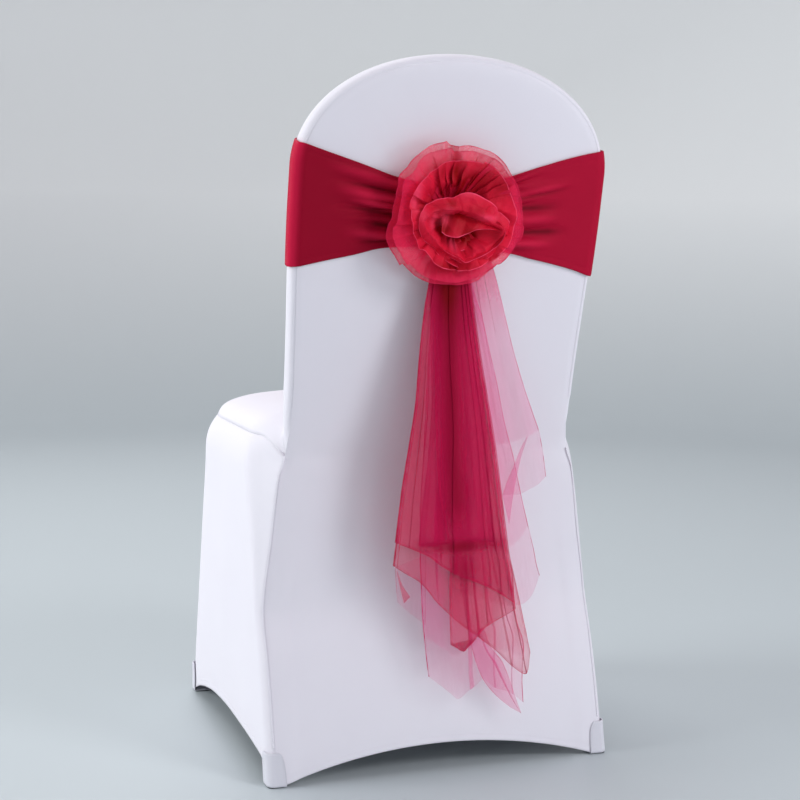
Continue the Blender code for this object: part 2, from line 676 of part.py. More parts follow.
def build():
    clear_scene()
    white = cloth_material("white_stretch_cloth", (0.86, 0.86, 0.90), 0.62)
    pocket_white = cloth_material("white_pocket_cloth", (0.80, 0.80, 0.84), 0.70)
    sole_dark = cloth_material("dark_sole", (0.03, 0.03, 0.035), 0.60)
    crimson = cloth_material("crimson_stretch_cloth", (0.46, 0.012, 0.045), 0.50)
    organza = cloth_material("red_organza", (0.72, 0.04, 0.12), 0.45, alpha=0.75)

    rear_panel(white)
    front_panel(white)
    back_edge_band(white)
    side_panel("side_panel_left", 1.0, white)
    side_panel("side_panel_right", -1.0, white)
    for side_name, side in (("left", 1.0), ("right", -1.0)):
        for end_name, rear in (("rear", True), ("front", False)):
            foot_pocket(f"foot_pocket_{end_name}_{side_name}", side, rear, pocket_white)
            foot_sole(f"foot_sole_{end_name}_{side_name}", side, rear, sole_dark)
    sash_band(crimson)
    for name, layer in RUFFLES.items():
        ruffle(name, layer, organza)
    rosette_heart(organza)
    for name, shape in TAILS.items():
        tail(name, shape, organza)

    seat_middle = bpy.data.objects.new("seat_middle", None)
    seat_middle.location.y = ORIGIN_SHIFT_Y
    for piece in list(bpy.context.scene.objects):
        piece.parent = seat_middle
    bpy.context.scene.collection.objects.link(seat_middle)


build()
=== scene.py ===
# Stretch chair cover with a crimson back sash, an organza rosette and organza tails.
# Metres, +Z up; the cover faces -Y, so the rosette is on the +Y side.
import math

import bpy
from mathutils import Matrix, Vector, noise


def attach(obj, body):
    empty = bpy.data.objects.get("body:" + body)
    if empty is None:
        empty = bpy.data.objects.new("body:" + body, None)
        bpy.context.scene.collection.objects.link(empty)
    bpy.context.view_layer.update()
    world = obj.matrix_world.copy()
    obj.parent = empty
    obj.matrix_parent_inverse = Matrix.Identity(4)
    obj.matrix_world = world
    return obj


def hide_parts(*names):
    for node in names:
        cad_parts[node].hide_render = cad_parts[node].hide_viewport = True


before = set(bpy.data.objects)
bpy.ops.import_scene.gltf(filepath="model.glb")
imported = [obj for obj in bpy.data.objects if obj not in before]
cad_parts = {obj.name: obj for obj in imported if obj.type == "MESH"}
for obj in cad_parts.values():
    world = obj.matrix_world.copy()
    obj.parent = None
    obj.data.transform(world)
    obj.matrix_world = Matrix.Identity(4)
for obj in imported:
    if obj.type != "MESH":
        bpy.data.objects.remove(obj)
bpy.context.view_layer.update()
print("frame loaded")

seatShift = Vector((0.0, -0.0094, 0.0))  # shapes are measured from the seat's middle, the frame from the box's


def mix(start, end, share):
    return start + (end - start) * share


def smoothStep(value):
    value = min(max(value, 0.0), 1.0)
    return value * value * (3.0 - 2.0 * value)


def bump(distance, width):
    return math.exp(-(distance / width) ** 2)


def smoothCurve(rows, column=1):
    # A curve through the table's rows that never overshoots them; beyond the ends it stays level
    keys = [row[0] for row in rows]
    values = [row[column] for row in rows]
    slopes = [(b - a) / (d - c) for a, b, c, d in zip(values, values[1:], keys, keys[1:])]
    tangents = [slopes[0]]
    for before, after in zip(slopes, slopes[1:]):
        tangents.append(0.0 if before * after <= 0.0 else 2.0 * before * after / (before + after))
    tangents.append(slopes[-1])

    def read(key):
        if key <= keys[0]:
            return values[0]
        if key >= keys[-1]:
            return values[-1]
        index = max(i for i in range(len(keys) - 1) if keys[i] <= key)
        step = keys[index + 1] - keys[index]
        t = (key - keys[index]) / step
        return (
            values[index] * (1 + 2 * t) * (1 - t) ** 2 + tangents[index] * step * t * (1 - t) ** 2
            + values[index + 1] * t * t * (3 - 2 * t) - tangents[index + 1] * step * t * t * (1 - t)
        )

    return read


def smoothPath(points):
    # A path through the points; share 0 is its start and 1 its end
    lengths = [0.0]
    for before, after in zip(points, points[1:]):
        lengths.append(lengths[-1] + max((Vector(after) - Vector(before)).length, 1e-6))
    curves = [
        smoothCurve([(length, point[axis]) for length, point in zip(lengths, points)])
        for axis in range(len(points[0]))
    ]
    return lambda share: [curve(share * lengths[-1]) for curve in curves]


def relax(grid, passes, firstRow=1, lastRow=None):
    # Evens a grid out as stretched cloth does; its borders stay
    last = len(grid) - 2 if lastRow is None else lastRow
    for _ in range(passes):
        before = [[point.copy() for point in row] for row in grid]
        for row in range(firstRow, last + 1):
            for column in range(1, len(grid[0]) - 1):
                around = (before[row - 1][column] + before[row + 1][column]
                          + before[row][column - 1] + before[row][column + 1]) / 4
                grid[row][column] = before[row][column].lerp(around, 0.6)


# Materials


def addNode(tree, kind, inputs=None, **settings):
    node = tree.nodes.new(kind)
    for key, value in settings.items():
        setattr(node, key, value)
    for key, value in (inputs or {}).items():
        if isinstance(value, bpy.types.NodeSocket):
            tree.links.new(value, node.inputs[key])
        else:
            node.inputs[key].default_value = value
    return node


def maths(tree, operation, *values):
    node = tree.nodes.new("ShaderNodeMath")
    node.operation = operation
    for index, value in enumerate(values):
        if isinstance(value, bpy.types.NodeSocket):
            tree.links.new(value, node.inputs[index])
        else:
            node.inputs[index].default_value = value
    return node.outputs[0]


def blend(tree, share, first, second):
    # A colour between two others; each is a look's colour or another node's output
    node = addNode(tree, "ShaderNodeMix", {0: share}, data_type="RGBA")
    for index, colour in ((6, first), (7, second)):
        if isinstance(colour, bpy.types.NodeSocket):
            tree.links.new(colour, node.inputs[index])
        else:
            node.inputs[index].default_value = (*colour, 1.0)
    return node.outputs[2]


def readMask(tree, label):
    return addNode(tree, "ShaderNodeAttribute", attribute_name=label).outputs["Fac"]


def addObject(name, data):
    thing = bpy.data.objects.new(name, data)
    bpy.context.scene.collection.objects.link(thing)
    return thing


def startGroup(name, vectors, numbers, outputs):
    group = bpy.data.node_groups.new(name, "ShaderNodeTree")
    for label in vectors:
        group.interface.new_socket(label, in_out="INPUT", socket_type="NodeSocketVector")
    for label, value in numbers.items():
        group.interface.new_socket(label, in_out="INPUT", socket_type="NodeSocketFloat").default_value = value
    for label in outputs:
        group.interface.new_socket(label, in_out="OUTPUT", socket_type="NodeSocketFloat")
    return group, group.nodes.new("NodeGroupInput").outputs, group.nodes.new("NodeGroupOutput").inputs


def clothAngles(group, given, gap):
    # Both directions of the cloth as angles, with one full turn for each loop or thread
    parts = addNode(group, "ShaderNodeSeparateXYZ", {0: given["Cloth Place"]})
    turn = maths(group, "DIVIDE", math.tau, given[gap])
    return [maths(group, "MULTIPLY", parts.outputs[index], turn) for index in (0, 1)]


def makeKnitGroup():
    # Fine knit of stretch cloth: rows of loops along the cloth, and slow shade changes over it
    group, given, out = startGroup(
        "stretchKnit", ("Cloth Place", "Object Place"), {"Loop Size": 0.0011, "Mottle Scale": 9.0},
        ("Height", "Mottle"))
    across, along = clothAngles(group, given, "Loop Size")
    column = maths(group, "SINE", across)
    loop = maths(group, "SINE", maths(group, "ADD", along, maths(group, "MULTIPLY", column, 1.1)))
    rib = maths(group, "ABSOLUTE", column)
    height = maths(group, "ADD", maths(group, "MULTIPLY", rib, 0.6), maths(group, "MULTIPLY", loop, 0.4))
    group.links.new(height, out["Height"])
    cloud = addNode(
        group, "ShaderNodeTexNoise", {"Vector": given["Object Place"], "Scale": given["Mottle Scale"], "Detail": 3.0})
    group.links.new(cloud.outputs["Fac"], out["Mottle"])
    return group


def makeOrganzaGroup():
    # Sheer plain weave: fine threads both ways, a few thicker ones, closer where the cloth is gathered and where shade
    # is painted
    group, given, out = startGroup(
        "organzaWeave", ("Cloth Place",),
        {"GatherAndShade": 0.0, "RimAndHighlight": 0.0, "Thread Gap": 0.0009, "Thin Cover": 0.38, "Full Cover": 0.92}, ("Cover", "Height"))
    warp, weft = [maths(group, "SINE", turn) for turn in clothAngles(group, given, "Thread Gap")]
    threads = maths(group, "MAXIMUM", warp, weft)
    stretched = addNode(group, "ShaderNodeMapping", {"Vector": given["Cloth Place"], "Scale": (240.0, 26.0, 1.0)})
    slub = addNode(group, "ShaderNodeTexNoise", {"Vector": stretched.outputs[0], "Scale": 1.0, "Detail": 2.0})
    base = maths(group, "ADD", given["Thin Cover"], maths(group, "MULTIPLY", threads, 0.05))
    uneven = maths(group, "ADD", base, maths(group, "MULTIPLY", slub.outputs["Fac"], 0.1))
    sheer = maths(group, "SUBTRACT", uneven, 0.05)
    gatherAndShade = maths(group, "MINIMUM", maths(group, "ADD", given["GatherAndShade"], given["RimAndHighlight"]), 1.0)
    left = maths(group, "SUBTRACT", given["Full Cover"], sheer)
    cover = maths(group, "ADD", sheer, maths(group, "MULTIPLY", left, gatherAndShade))
    clamped = addNode(group, "ShaderNodeClamp", {"Value": cover, "Min": 0.02, "Max": 1.0})
    group.links.new(clamped.outputs[0], out["Cover"])
    group.links.new(threads, out["Height"])
    return group


knitGroup = makeKnitGroup()
organzaGroup = makeOrganzaGroup()


def startMaterial(name):
    material = bpy.data.materials.new(name)
    material.use_nodes = True
    tree = material.node_tree
    shader = tree.nodes["Principled BSDF"]
    place = addNode(tree, "ShaderNodeUVMap", uv_map="clothPlace").outputs[0]
    return material, tree, shader, place


def makeKnitMaterial(name, look):
    material, tree, shader, place = startMaterial(name)
    here = addNode(tree, "ShaderNodeTexCoord").outputs["Object"]
    knit = addNode(
        tree, "ShaderNodeGroup",
        {"Cloth Place": place, "Object Place": here, "Loop Size": look["loop"], "Mottle Scale": look["mottleScale"]},
        node_tree=knitGroup)
    tone = blend(tree, knit.outputs["Mottle"], look["shade"], look["colour"])
    # Painted shade in the folds and painted highlight on the crests, for a look that has them
    for mask in ("paintedFoldShade", "paintedCrestLight"):
        if mask + "Colour" in look:
            tone = blend(tree, readMask(tree, mask), tone, look[mask + "Colour"])
    tree.links.new(tone, shader.inputs["Base Color"])
    relief = addNode(
        tree, "ShaderNodeBump",
        {"Height": knit.outputs["Height"], "Strength": look["relief"], "Distance": look["loop"] * 0.3})
    tree.links.new(relief.outputs[0], shader.inputs["Normal"])
    rough = addNode(tree, "ShaderNodeMapRange", {
        "Value": knit.outputs["Mottle"], "To Min": look["roughness"] - 0.05, "To Max": look["roughness"] + 0.05})
    tree.links.new(rough.outputs[0], shader.inputs["Roughness"])
    shader.inputs["Sheen Weight"].default_value = look["sheen"]
    shader.inputs["Sheen Roughness"].default_value = 0.45
    shader.inputs["Specular IOR Level"].default_value = look["specular"]
    return material


def makeOrganzaMaterial(name, look):
    material, tree, shader, place = startMaterial(name)
    gatherAndShade = readMask(tree, "gatherAndShade")
    rim = readMask(tree, "rim")
    weave = addNode(
        tree, "ShaderNodeGroup",
        {"Cloth Place": place, "GatherAndShade": gatherAndShade, "RimAndHighlight": rim, "Thread Gap": look["threadGap"],
         "Thin Cover": look["thinCover"], "Full Cover": look["fullCover"]},
        node_tree=organzaGroup)
    # The deep colour stands for bunched cloth and for painted shade
    tone = blend(tree, gatherAndShade, look["thinColour"], look["deepColour"])
    # The rim colour marks rolled edges and hem lines; on the petals it is also painted highlight on their edges and
    # lit spots
    tone = blend(tree, rim, tone, look["rimAndHighlightColour"])
    tree.links.new(tone, shader.inputs["Base Color"])
    tree.links.new(tone, shader.inputs["Emission Color"])
    shader.inputs["Emission Strength"].default_value = look["glow"]  # stands in for light through the layers
    tree.links.new(weave.outputs["Cover"], shader.inputs["Alpha"])
    relief = addNode(
        tree, "ShaderNodeBump", {"Height": weave.outputs["Height"], "Strength": 0.25, "Distance": 0.0002})
    tree.links.new(relief.outputs[0], shader.inputs["Normal"])
    shader.inputs["Roughness"].default_value = look["roughness"]
    shader.inputs["Specular IOR Level"].default_value = look["specular"]
    return material


whiteLook = {"colour": (0.875, 0.845, 0.905), "shade": (0.83, 0.8, 0.87), "loop": 0.0011, "mottleScale": 7.0,
             "relief": 0.35, "roughness": 0.75, "sheen": 0.1, "specular": 0.2}
pocketLook = {**whiteLook, "colour": (0.78, 0.77, 0.83), "shade": (0.72, 0.71, 0.78), "loop": 0.0016, "relief": 0.5}
# The sash's fold and crest colours are painted shade and painted highlight
sashLook = {"colour": (0.43, 0.0022, 0.03), "shade": (0.38, 0.0018, 0.025), "loop": 0.0009, "mottleScale": 14.0,
            "relief": 0.3, "roughness": 0.5, "sheen": 0.0, "specular": 0.07,
            "paintedFoldShadeColour": (0.12, 0.0005, 0.006), "paintedCrestLightColour": (0.66, 0.012, 0.06)}
threadLook = {**whiteLook, "loop": 0.0006, "relief": 0.2}
soleLook = {"colour": (0.035, 0.035, 0.04), "shade": (0.02, 0.02, 0.024), "loop": 0.0025, "mottleScale": 60.0,
            "relief": 0.4, "roughness": 0.6, "sheen": 0.0, "specular": 0.4}
sheerLook = {"thinColour": (0.8, 0.03, 0.26), "deepColour": (0.62, 0.004, 0.05), "rimAndHighlightColour": (0.5, 0.006, 0.09),
             "thinCover": 0.29, "fullCover": 0.9, "threadGap": 0.0009, "roughness": 0.5, "specular": 0.1,
             "glow": 0.08}
middleLook = {**sheerLook, "thinColour": (0.69, 0.008, 0.09), "deepColour": (0.2, 0.0003, 0.005),
              "rimAndHighlightColour": (0.42, 0.002, 0.045), "thinCover": 0.45, "specular": 0.05, "glow": 0.03}
rosetteLook = {**sheerLook, "thinColour": (0.88, 0.022, 0.095), "deepColour": (0.4, 0.0004, 0.01),
               "rimAndHighlightColour": (0.52, 0.012, 0.06), "thinCover": 0.51, "fullCover": 0.97, "glow": 0.11}
# The petals' pale rim colour is painted highlight on their edges and lit spots
petalLook = {**rosetteLook, "thinColour": (0.8, 0.011, 0.048), "deepColour": (0.27, 0.0001, 0.002),
             "rimAndHighlightColour": (0.92, 0.075, 0.175), "thinCover": 0.8, "fullCover": 0.99, "specular": 0.12, "glow": 0.07}

whiteCloth = makeKnitMaterial("whiteStretchCloth", whiteLook)
pocketCloth = makeKnitMaterial("whitePocketCloth", pocketLook)
whiteThread = makeKnitMaterial("whiteSewingThread", threadLook)
sashCloth = makeKnitMaterial("crimsonStretchCloth", sashLook)
darkSoleFinish = makeKnitMaterial("darkSole", soleLook)
sheerOrganza = makeOrganzaMaterial("sheerOrganza", sheerLook)
middleOrganza = makeOrganzaMaterial("middleOrganza", middleLook)
rosetteOrganza = makeOrganzaMaterial("rosetteOrganza", rosetteLook)
petalOrganza = makeOrganzaMaterial("petalOrganza", petalLook)
print("materials made")


# Sheets


def clothPlaces(grid, closed):
    # Metres along the cloth for each grid point, from the middle column outwards and from the first row down
    width = len(grid[0])
    columns = width + 1 if closed else width
    places = []
    down = 0.0
    for index, row in enumerate(grid):
        if index:
            down += (row[width // 2] - grid[index - 1][width // 2]).length
        across = [0.0]
        for column in range(1, columns):
            across.append(across[-1] + (row[column % width] - row[column - 1]).length)
        places.append([(value - across[columns // 2], down) for value in across])
    return places


def makeSheet(name, grid, material, thickness=0.0, closed=False, away=None, caps=(), openCells=(), attributes=None):
    # openCells are the (row, column) cells without cloth; a cap is a face of any (row, column) points
    width = len(grid[0])
    leftOpen = set(openCells)
    cells = [[(row, column), (row, column + 1), (row + 1, column + 1), (row + 1, column)]
             for row in range(len(grid) - 1) for column in range(width if closed else width - 1)
             if (row, column) not in leftOpen]
    cells += [list(cap) for cap in caps]
    used = sorted({(row, column % width) for cell in cells for row, column in cell})
    number = {place: index for index, place in enumerate(used)}
    faces = [tuple(number[row, column % width] for row, column in cell) for cell in cells]
    places = clothPlaces(grid, closed)
    mesh = bpy.data.meshes.new(name)
    mesh.from_pydata([tuple(grid[row][column] + seatShift) for row, column in used], [], faces)
    layer = mesh.uv_layers.new(name="clothPlace")
    layer.uv.foreach_set("vector", [value for cell in cells for row, column in cell for value in places[row][column]])
    for label, values in (attributes or {}).items():
        stored = mesh.attributes.new(label, "FLOAT", "POINT")
        stored.data.foreach_set("value", [values[row][column] for row, column in used])
    mesh.update()
    if away is not None:
        middle = mesh.polygons[len(faces) // 2]
        if middle.normal.dot(middle.center - Vector(away) - seatShift) < 0.0:
            mesh.flip_normals()
    mesh.materials.append(material)
    mesh.shade_smooth()
    sheet = addObject(name, mesh)
    if thickness:
        cloth = sheet.modifiers.new("Cloth thickness", "SOLIDIFY")
        cloth.thickness = thickness
        cloth.offset = 1.0
    return sheet


def settle(piece, slotName, *nodes):
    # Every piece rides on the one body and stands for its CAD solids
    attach(piece, "root")
    if nodes:
        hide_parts(*nodes)


def sewLine(name, points, normals, material, stitch=None):
    # A row of short stitches along a line, each a small rounded bar that dips into the cloth at its ends
    look = {"length": 0.003, "gap": 0.001, "radius": 0.00028, **(stitch or {})}
    vertices = []
    faces = []
    travelled = 0.0
    starts = []
    for index in range(len(points) - 1):
        step = (points[index + 1] - points[index]).length
        while travelled <= step:
            share = travelled / max(step, 1e-9)
            along = (points[index + 1] - points[index]).normalized()
            starts.append((points[index].lerp(points[index + 1], share), along, normals[index]))
            travelled += look["length"] + look["gap"]
        travelled -= step
    for centre, along, normal in starts:
        side = along.cross(normal).normalized()
        first = len(vertices)
        rings = ((-0.5, 0.35, -0.4), (-0.3, 1.0, 0.45), (0.3, 1.0, 0.45), (0.5, 0.35, -0.4))
        for place, size, lift in rings:
            middle = centre + along * place * look["length"] + normal * lift * look["radius"]
            for corner in range(6):
                angle = math.tau * corner / 6
                offset = side * math.cos(angle) + normal * math.sin(angle)
                vertices.append(tuple(middle + offset * look["radius"] * size + seatShift))
        for ring in range(3):
            for corner in range(6):
                a = first + ring * 6 + corner
                b = first + ring * 6 + (corner + 1) % 6
                faces.append((a, b, b + 6, a + 6))
        faces.append(tuple(first + corner for corner in reversed(range(6))))
        faces.append(tuple(first + 18 + corner for corner in range(6)))
    mesh = bpy.data.meshes.new(name)
    mesh.from_pydata(vertices, [], faces)
    layer = mesh.uv_layers.new(name="clothPlace")
    layer.uv.foreach_set("vector", [
        value for loop in mesh.loops for value in (mesh.vertices[loop.vertex_index].co.x,
                                                   mesh.vertices[loop.vertex_index].co.z)])
    mesh.materials.append(material)
    mesh.shade_smooth()
    return addObject(name, mesh)


# The chair form that the white cloth is stretched over

back = {"lean": 0.208, "waistZ": 0.4136, "waistY": 0.1385, "halfWidth": 0.2065, "waistHalfWidth": 0.1995,
        "crownFootZ": 0.78, "crownRise": 0.141, "crownSquare": 2.08, "thickness": 0.029, "padding": 0.012,
        "swell": 0.004, "seamInset": 0.0052}
seat = {"edgeZ": 0.391, "rollRise": 0.062, "rollInset": 0.045, "seamZ": 0.436, "rollHeight": 0.021,
        "crownHeight": 0.021, "junctionLift": 0.05, "sideX": 0.236, "frontY": -0.26}
hem = {"rearRise": 0.0345, "rearReach": 0.2135, "footClear": 0.003, "band": 0.0085, "skirtLength": 0.4,
       "stitchWidth": 0.0012}
panelCloth = 0.0015
seamGap = 0.0004

seamRows = (
    (0.0, 0.228, 0.2085), (0.09, 0.228, 0.186), (0.16, 0.2285, 0.163), (0.2, 0.229, 0.146), (0.215, 0.2285, 0.1415),
    (0.24, 0.2265, 0.14), (0.262, 0.2235, 0.1395), (0.3, 0.218, 0.1392), (0.35, 0.2125, 0.139), (0.39, 0.207, 0.1388),
    (0.414, 0.1995, 0.1385), (0.45, 0.1995, 0.14607), (0.5, 0.1996, 0.15647),
)
legRows = ((0.0, 0.199), (0.09, 0.1765), (0.16, 0.153), (0.215, 0.131), (0.25, 0.121),
           (0.3, 0.108), (0.35, 0.093), (0.4, 0.075), (0.44, 0.062))
rearMiddleRows = ((0.0, 0.206), (0.09, 0.1872), (0.16, 0.1709), (0.215, 0.1592), (0.3, 0.1494),
                  (0.35, 0.1458), (0.385, 0.1436), (0.414, 0.1434), (0.45, 0.1501), (0.5, 0.1605))
cornerRows = ((0.0, 0.012), (0.045, 0.014), (0.145, 0.038), (0.274, 0.074), (0.385, 0.105), (0.45, 0.108))
sideHemRows = (
    (-0.26, 0.003), (-0.25, 0.004), (-0.22, 0.015), (-0.18, 0.0245), (-0.12, 0.0315),
    (-0.04, 0.0335), (0.08, 0.0325), (0.16, 0.0305), (0.188, 0.026), (0.198, 0.012), (0.206, 0.003),
)
seamX = smoothCurve(seamRows, 1)
seamY = smoothCurve(seamRows, 2)
legY = smoothCurve(legRows)
rearMiddleY = smoothCurve(rearMiddleRows)
cornerRadius = smoothCurve(cornerRows)
sideHemZ = smoothCurve(sideHemRows)
leanLength = math.hypot(1.0, back["lean"])


def leanY(z):
    return back["waistY"] + back["lean"] * (z - back["waistZ"])


def backPoint(x, z, depth):
    # z is the height on the leaning rear face and depth runs to the rear from it
    return Vector((x, leanY(z) + depth / leanLength, z - depth * back["lean"] / leanLength))


def halfWidthAt(z):
    if z >= back["crownFootZ"]:
        reach = min((z - back["crownFootZ"]) / back["crownRise"], 1.0)
        return back["halfWidth"] * (1.0 - reach ** back["crownSquare"]) ** (1.0 / back["crownSquare"])
    return mix(back["waistHalfWidth"], back["halfWidth"], smoothStep((z - 0.48) / 0.26))


def outlineRow(degrees):
    # (x, z, normal x, normal z) of the crown's outline; 0 degrees is its foot and 90 its top
    angle = math.radians(degrees)
    power = 2.0 / back["crownSquare"]
    x = back["halfWidth"] * math.cos(angle) ** power
    z = back["crownFootZ"] + back["crownRise"] * math.sin(angle) ** power
    slopeX = math.cos(angle) ** (2.0 - power) / back["halfWidth"]
    slopeZ = math.sin(angle) ** (2.0 - power) / back["crownRise"]
    normal = Vector((slopeX, slopeZ)).normalized()
    return x, z, normal.x, normal.y


def backOutline():
    # From the top of the crown down to the waist, closer together where the outline turns
    rows = [outlineRow(degrees) for degrees in (89.6, 88.6, 87.2, 85.5)]
    rows += [outlineRow(83.5 - 2.25 * step) for step in range(38)]
    steps = 60
    for step in range(1, steps + 1):
        z = mix(back["crownFootZ"], back["waistZ"], step / steps)
        rows.append((halfWidthAt(z), z, 1.0, 0.0))
    return rows


def rearHemZ(x):
    return hem["footClear"] + (hem["rearRise"] - hem["footClear"]) * max(0.0, 1.0 - (x / hem["rearReach"]) ** 2)


def skirtSteps(rows):
    # Shares of the way down a skirt, closer together at its turned hem
    ends = [1.0 - offset / hem["skirtLength"] for offset in (0.0125, 0.01, 0.0088, 0.008, 0.0055, 0.0025, 0.0)]
    return [(step + 1) / rows * ends[0] for step in range(rows)] + ends[1:]


def atHemStitch(down):
    return bump((1.0 - down) * hem["skirtLength"] - hem["band"], hem["stitchWidth"])


def mirrored(points):
    return [Vector((-point.x, point.y, point.z)) for point in points]


def rollInset(z):
    reach = min(max((z - seat["edgeZ"]) / seat["rollRise"], 0.0), 0.99)
    return seat["rollInset"] * (1.0 - math.sqrt(1.0 - reach * reach))


def frontCornerPoint(z, degrees):
    radius = cornerRadius(z)
    inset = rollInset(z)
    angle = math.radians(degrees)
    return Vector((
        seat["sideX"] - inset - radius * (1.0 - math.cos(angle)),
        seat["frontY"] + inset + radius * (1.0 - math.sin(angle)),
        z,
    ))


# Rear panel, in one length from the crown to the arched hem

rearPanelLook = {"columns": 84, "skirtRows": 62, "legStrip": 0.024, "legRelief": 0.0016, "waistDimple": 0.0014}


def rearFold(x, z, half):
    # Shallow pulls of the stretched cloth: leg strips, the dimple at the waist and long soft folds
    edge = half - abs(x)
    lift = -rearPanelLook["legRelief"] * smoothStep((edge - rearPanelLook["legStrip"]) / 0.01) \
        * smoothStep((0.36 - z) / 0.12)
    lift -= rearPanelLook["waistDimple"] * bump(edge - 0.004, 0.016) * bump(z - 0.405, 0.02)
    side = 1.0 if x > 0 else -1.0
    for reach, slope, width, depth in ((0.05, 0.55, 0.01, 0.0011), (0.02, 0.3, 0.008, 0.0008)):
        line = (z - 0.395) + slope * (edge - reach) * (1.0 if side > 0 else 0.8)
        lift += depth * bump(line, width) * smoothStep((0.12 - edge) / 0.12) * smoothStep(edge / 0.01)
    lift += 0.0008 * math.sin(9.0 * x + 2.0) * math.sin(6.0 * z + 1.0)
    return lift


def makeRearPanel():
    look = rearPanelLook
    columns = look["columns"]
    spread = [math.sin(math.pi / 2 * (2 * c / columns - 1) * 0.9) for c in range(columns + 1)]
    spread = [value / spread[-1] for value in spread]
    inset = back["seamInset"]
    grid = []
    for x, z, normalX, normalZ in backOutline():
        here = mix(0.0004, inset, smoothStep((z - back["waistZ"]) / 0.055))
        half = x - here * normalX
        height = z - here * normalZ
        row = []
        for share in spread:
            at = share * half
            swell = back["swell"] * (1.0 - abs(share) ** 2.4) * min(1.0, x / 0.1)
            roll = 0.0009 * smoothStep((abs(share) * half - (half - 0.008)) / 0.008)
            point = backPoint(at, height, swell - 0.0004 - roll)
            point.y += rearFold(at, height, half) * min(1.0, x / 0.1)
            row.append(point)
        grid.append(row)
    for down in skirtSteps(look["skirtRows"]):
        row = []
        for share in spread:
            bottom = rearHemZ(share * seamX(0.0))
            z = mix(back["waistZ"], bottom, down)
            half = seamX(z) - seamGap
            y = mix(rearMiddleY(z), seamY(z), abs(share) ** 2.4) + rearFold(share * half, z, half)
            row.append(Vector((share * half, y - 0.00045 * atHemStitch(down), z)))
        grid.append(row)
    relax(grid, 3)
    return grid


rearGrid = makeRearPanel()
rearPanel = makeSheet("rearPanel", rearGrid, whiteCloth, panelCloth, away=(0.0, -0.2, 0.45))
settle(rearPanel, "white_stretch_cloth", "rear_panel")
print("rear panel made")


# Side panels, with the facet that turns towards the rear

sideLook = {"columns": 66, "rows": 84, "hemPull": 0.005}


def sideSection(z, hemPull):
    # Path of the left side panel at one height, from the slanting rear seam to the front corner
    seam = Vector((seamX(z) + seamGap, seamY(z) - 0.0003, z))
    leg = Vector((seat["sideX"] - rollInset(z), legY(z), z))
    turn = Vector((leg.x - 0.0015, leg.y + 0.0035, z))
    facet = seam.lerp(turn, 0.5)
    facet.y -= 0.02 * (turn - seam).length
    front = frontCornerPoint(z, 0)
    points = [seam, facet, turn, leg + Vector((0.0, -0.0015, 0.0))]
    for share in (0.1, 0.3, 0.52, 0.74, 0.93):
        point = leg.lerp(front, share)
        point.x -= hemPull * math.sin(math.pi * share)
        points.append(point)
    points += [frontCornerPoint(z, degrees) for degrees in (14, 30)]
    points.append(frontCornerPoint(z, 45) + Vector((0.0002, 0.0002, 0.0)))
    return points


def sidePoint(share, z, hemPull):
    return Vector(smoothPath(sideSection(z, hemPull))(share))


sideTopZ = smoothCurve(((0.0, 0.4124), (0.03, 0.42), (0.08, 0.429), (0.16, 0.436), (1.0, 0.436)))


def sidePanelGrid():
    columns = sideLook["columns"]
    shares = [(c / columns) ** 1.25 for c in range(columns + 1)]
    lowSection = smoothPath(sideSection(0.02, 0.0))
    hems = []
    for share in shares:
        y = lowSection(share)[1]
        hems.append(mix(hem["footClear"], sideHemZ(y), smoothStep(share / 0.05)))
    grid = []
    for down in [0.0] + skirtSteps(sideLook["rows"]):
        row = []
        for share, bottom in zip(shares, hems):
            z = mix(sideTopZ(share) - seamGap, bottom, down)
            point = sidePoint(share, z, sideLook["hemPull"] * down ** 3)
            inner = smoothStep(share / 0.05) * smoothStep((1.0 - share) / 0.05)
            point.x -= 0.0004 * atHemStitch(down)
            point.x += 0.0009 * inner * math.sin(14.0 * point.y + 5.0 * z) * math.sin(7.0 * z + 0.6)
            row.append(point)
        grid.append(row)
    relax(grid, 4)
    # The seam allowance: the cloth runs on under the rear panel, under the seat top and round the front corner
    for row in grid:
        around = (row[-1] - row[-2]).normalized()
        row.insert(0, row[0] + Vector((-0.0034, -0.0016, 0.0)))
        row.append(row[-1] + around * 0.0034 + Vector((-around.y, around.x, 0.0)) * -0.0012)
    grid.insert(0, [point + Vector((-0.004, 0.0, 0.0006)) for point in grid[0]])
    return grid


leftSideGrid = sidePanelGrid()
rightSideGrid = [mirrored(row) for row in leftSideGrid]
for label, grid, node in (("sidePanelLeft", leftSideGrid, "side_panel_left"),
                          ("sidePanelRight", rightSideGrid, "side_panel_right")):
    panel = makeSheet(label, grid, whiteCloth, panelCloth, away=(0.0, 0.0, 0.2))
    settle(panel, "white_stretch_cloth", node)
print("side panels made")


# Front panel (the inside back, the seat top and the front skirt) and the strip round the back's edge

frontLook = {"bandColumns": 12, "innerColumns": 44, "seatRows": 60, "skirtRows": 60, "sideShare": 0.1,
             "backBaseY": 0.094, "liftFromZ": 0.56}
bandSteps = ((-0.0066, -0.0014), (-0.0036, -0.0012), (-0.0015, -0.0028), (-0.0004, -0.0056), (0.0002, -0.0088),
             (0.0006, -0.0125), (0.0006, -0.0165), (0.0001, -0.0205), (-0.0014, -0.024), (-0.0038, -0.0268),
             (-0.007, -0.0285), (-0.011, -0.0292))
bandLifts = (0.0, 0.02, 0.05, 0.09, 0.14, 0.2, 0.27, 0.35, 0.44, 0.53, 0.61, 0.68)


def seatRise(across, along):
    side = max(0.0, 1.0 - abs(across) ** 7.0)
    front = max(0.0, 1.0 - along ** 9.0)
    crown = 1.0 - 0.45 * across * across - 0.3 * along * along
    return (seat["rollHeight"] + seat["crownHeight"] * crown) * math.sqrt(side * front)


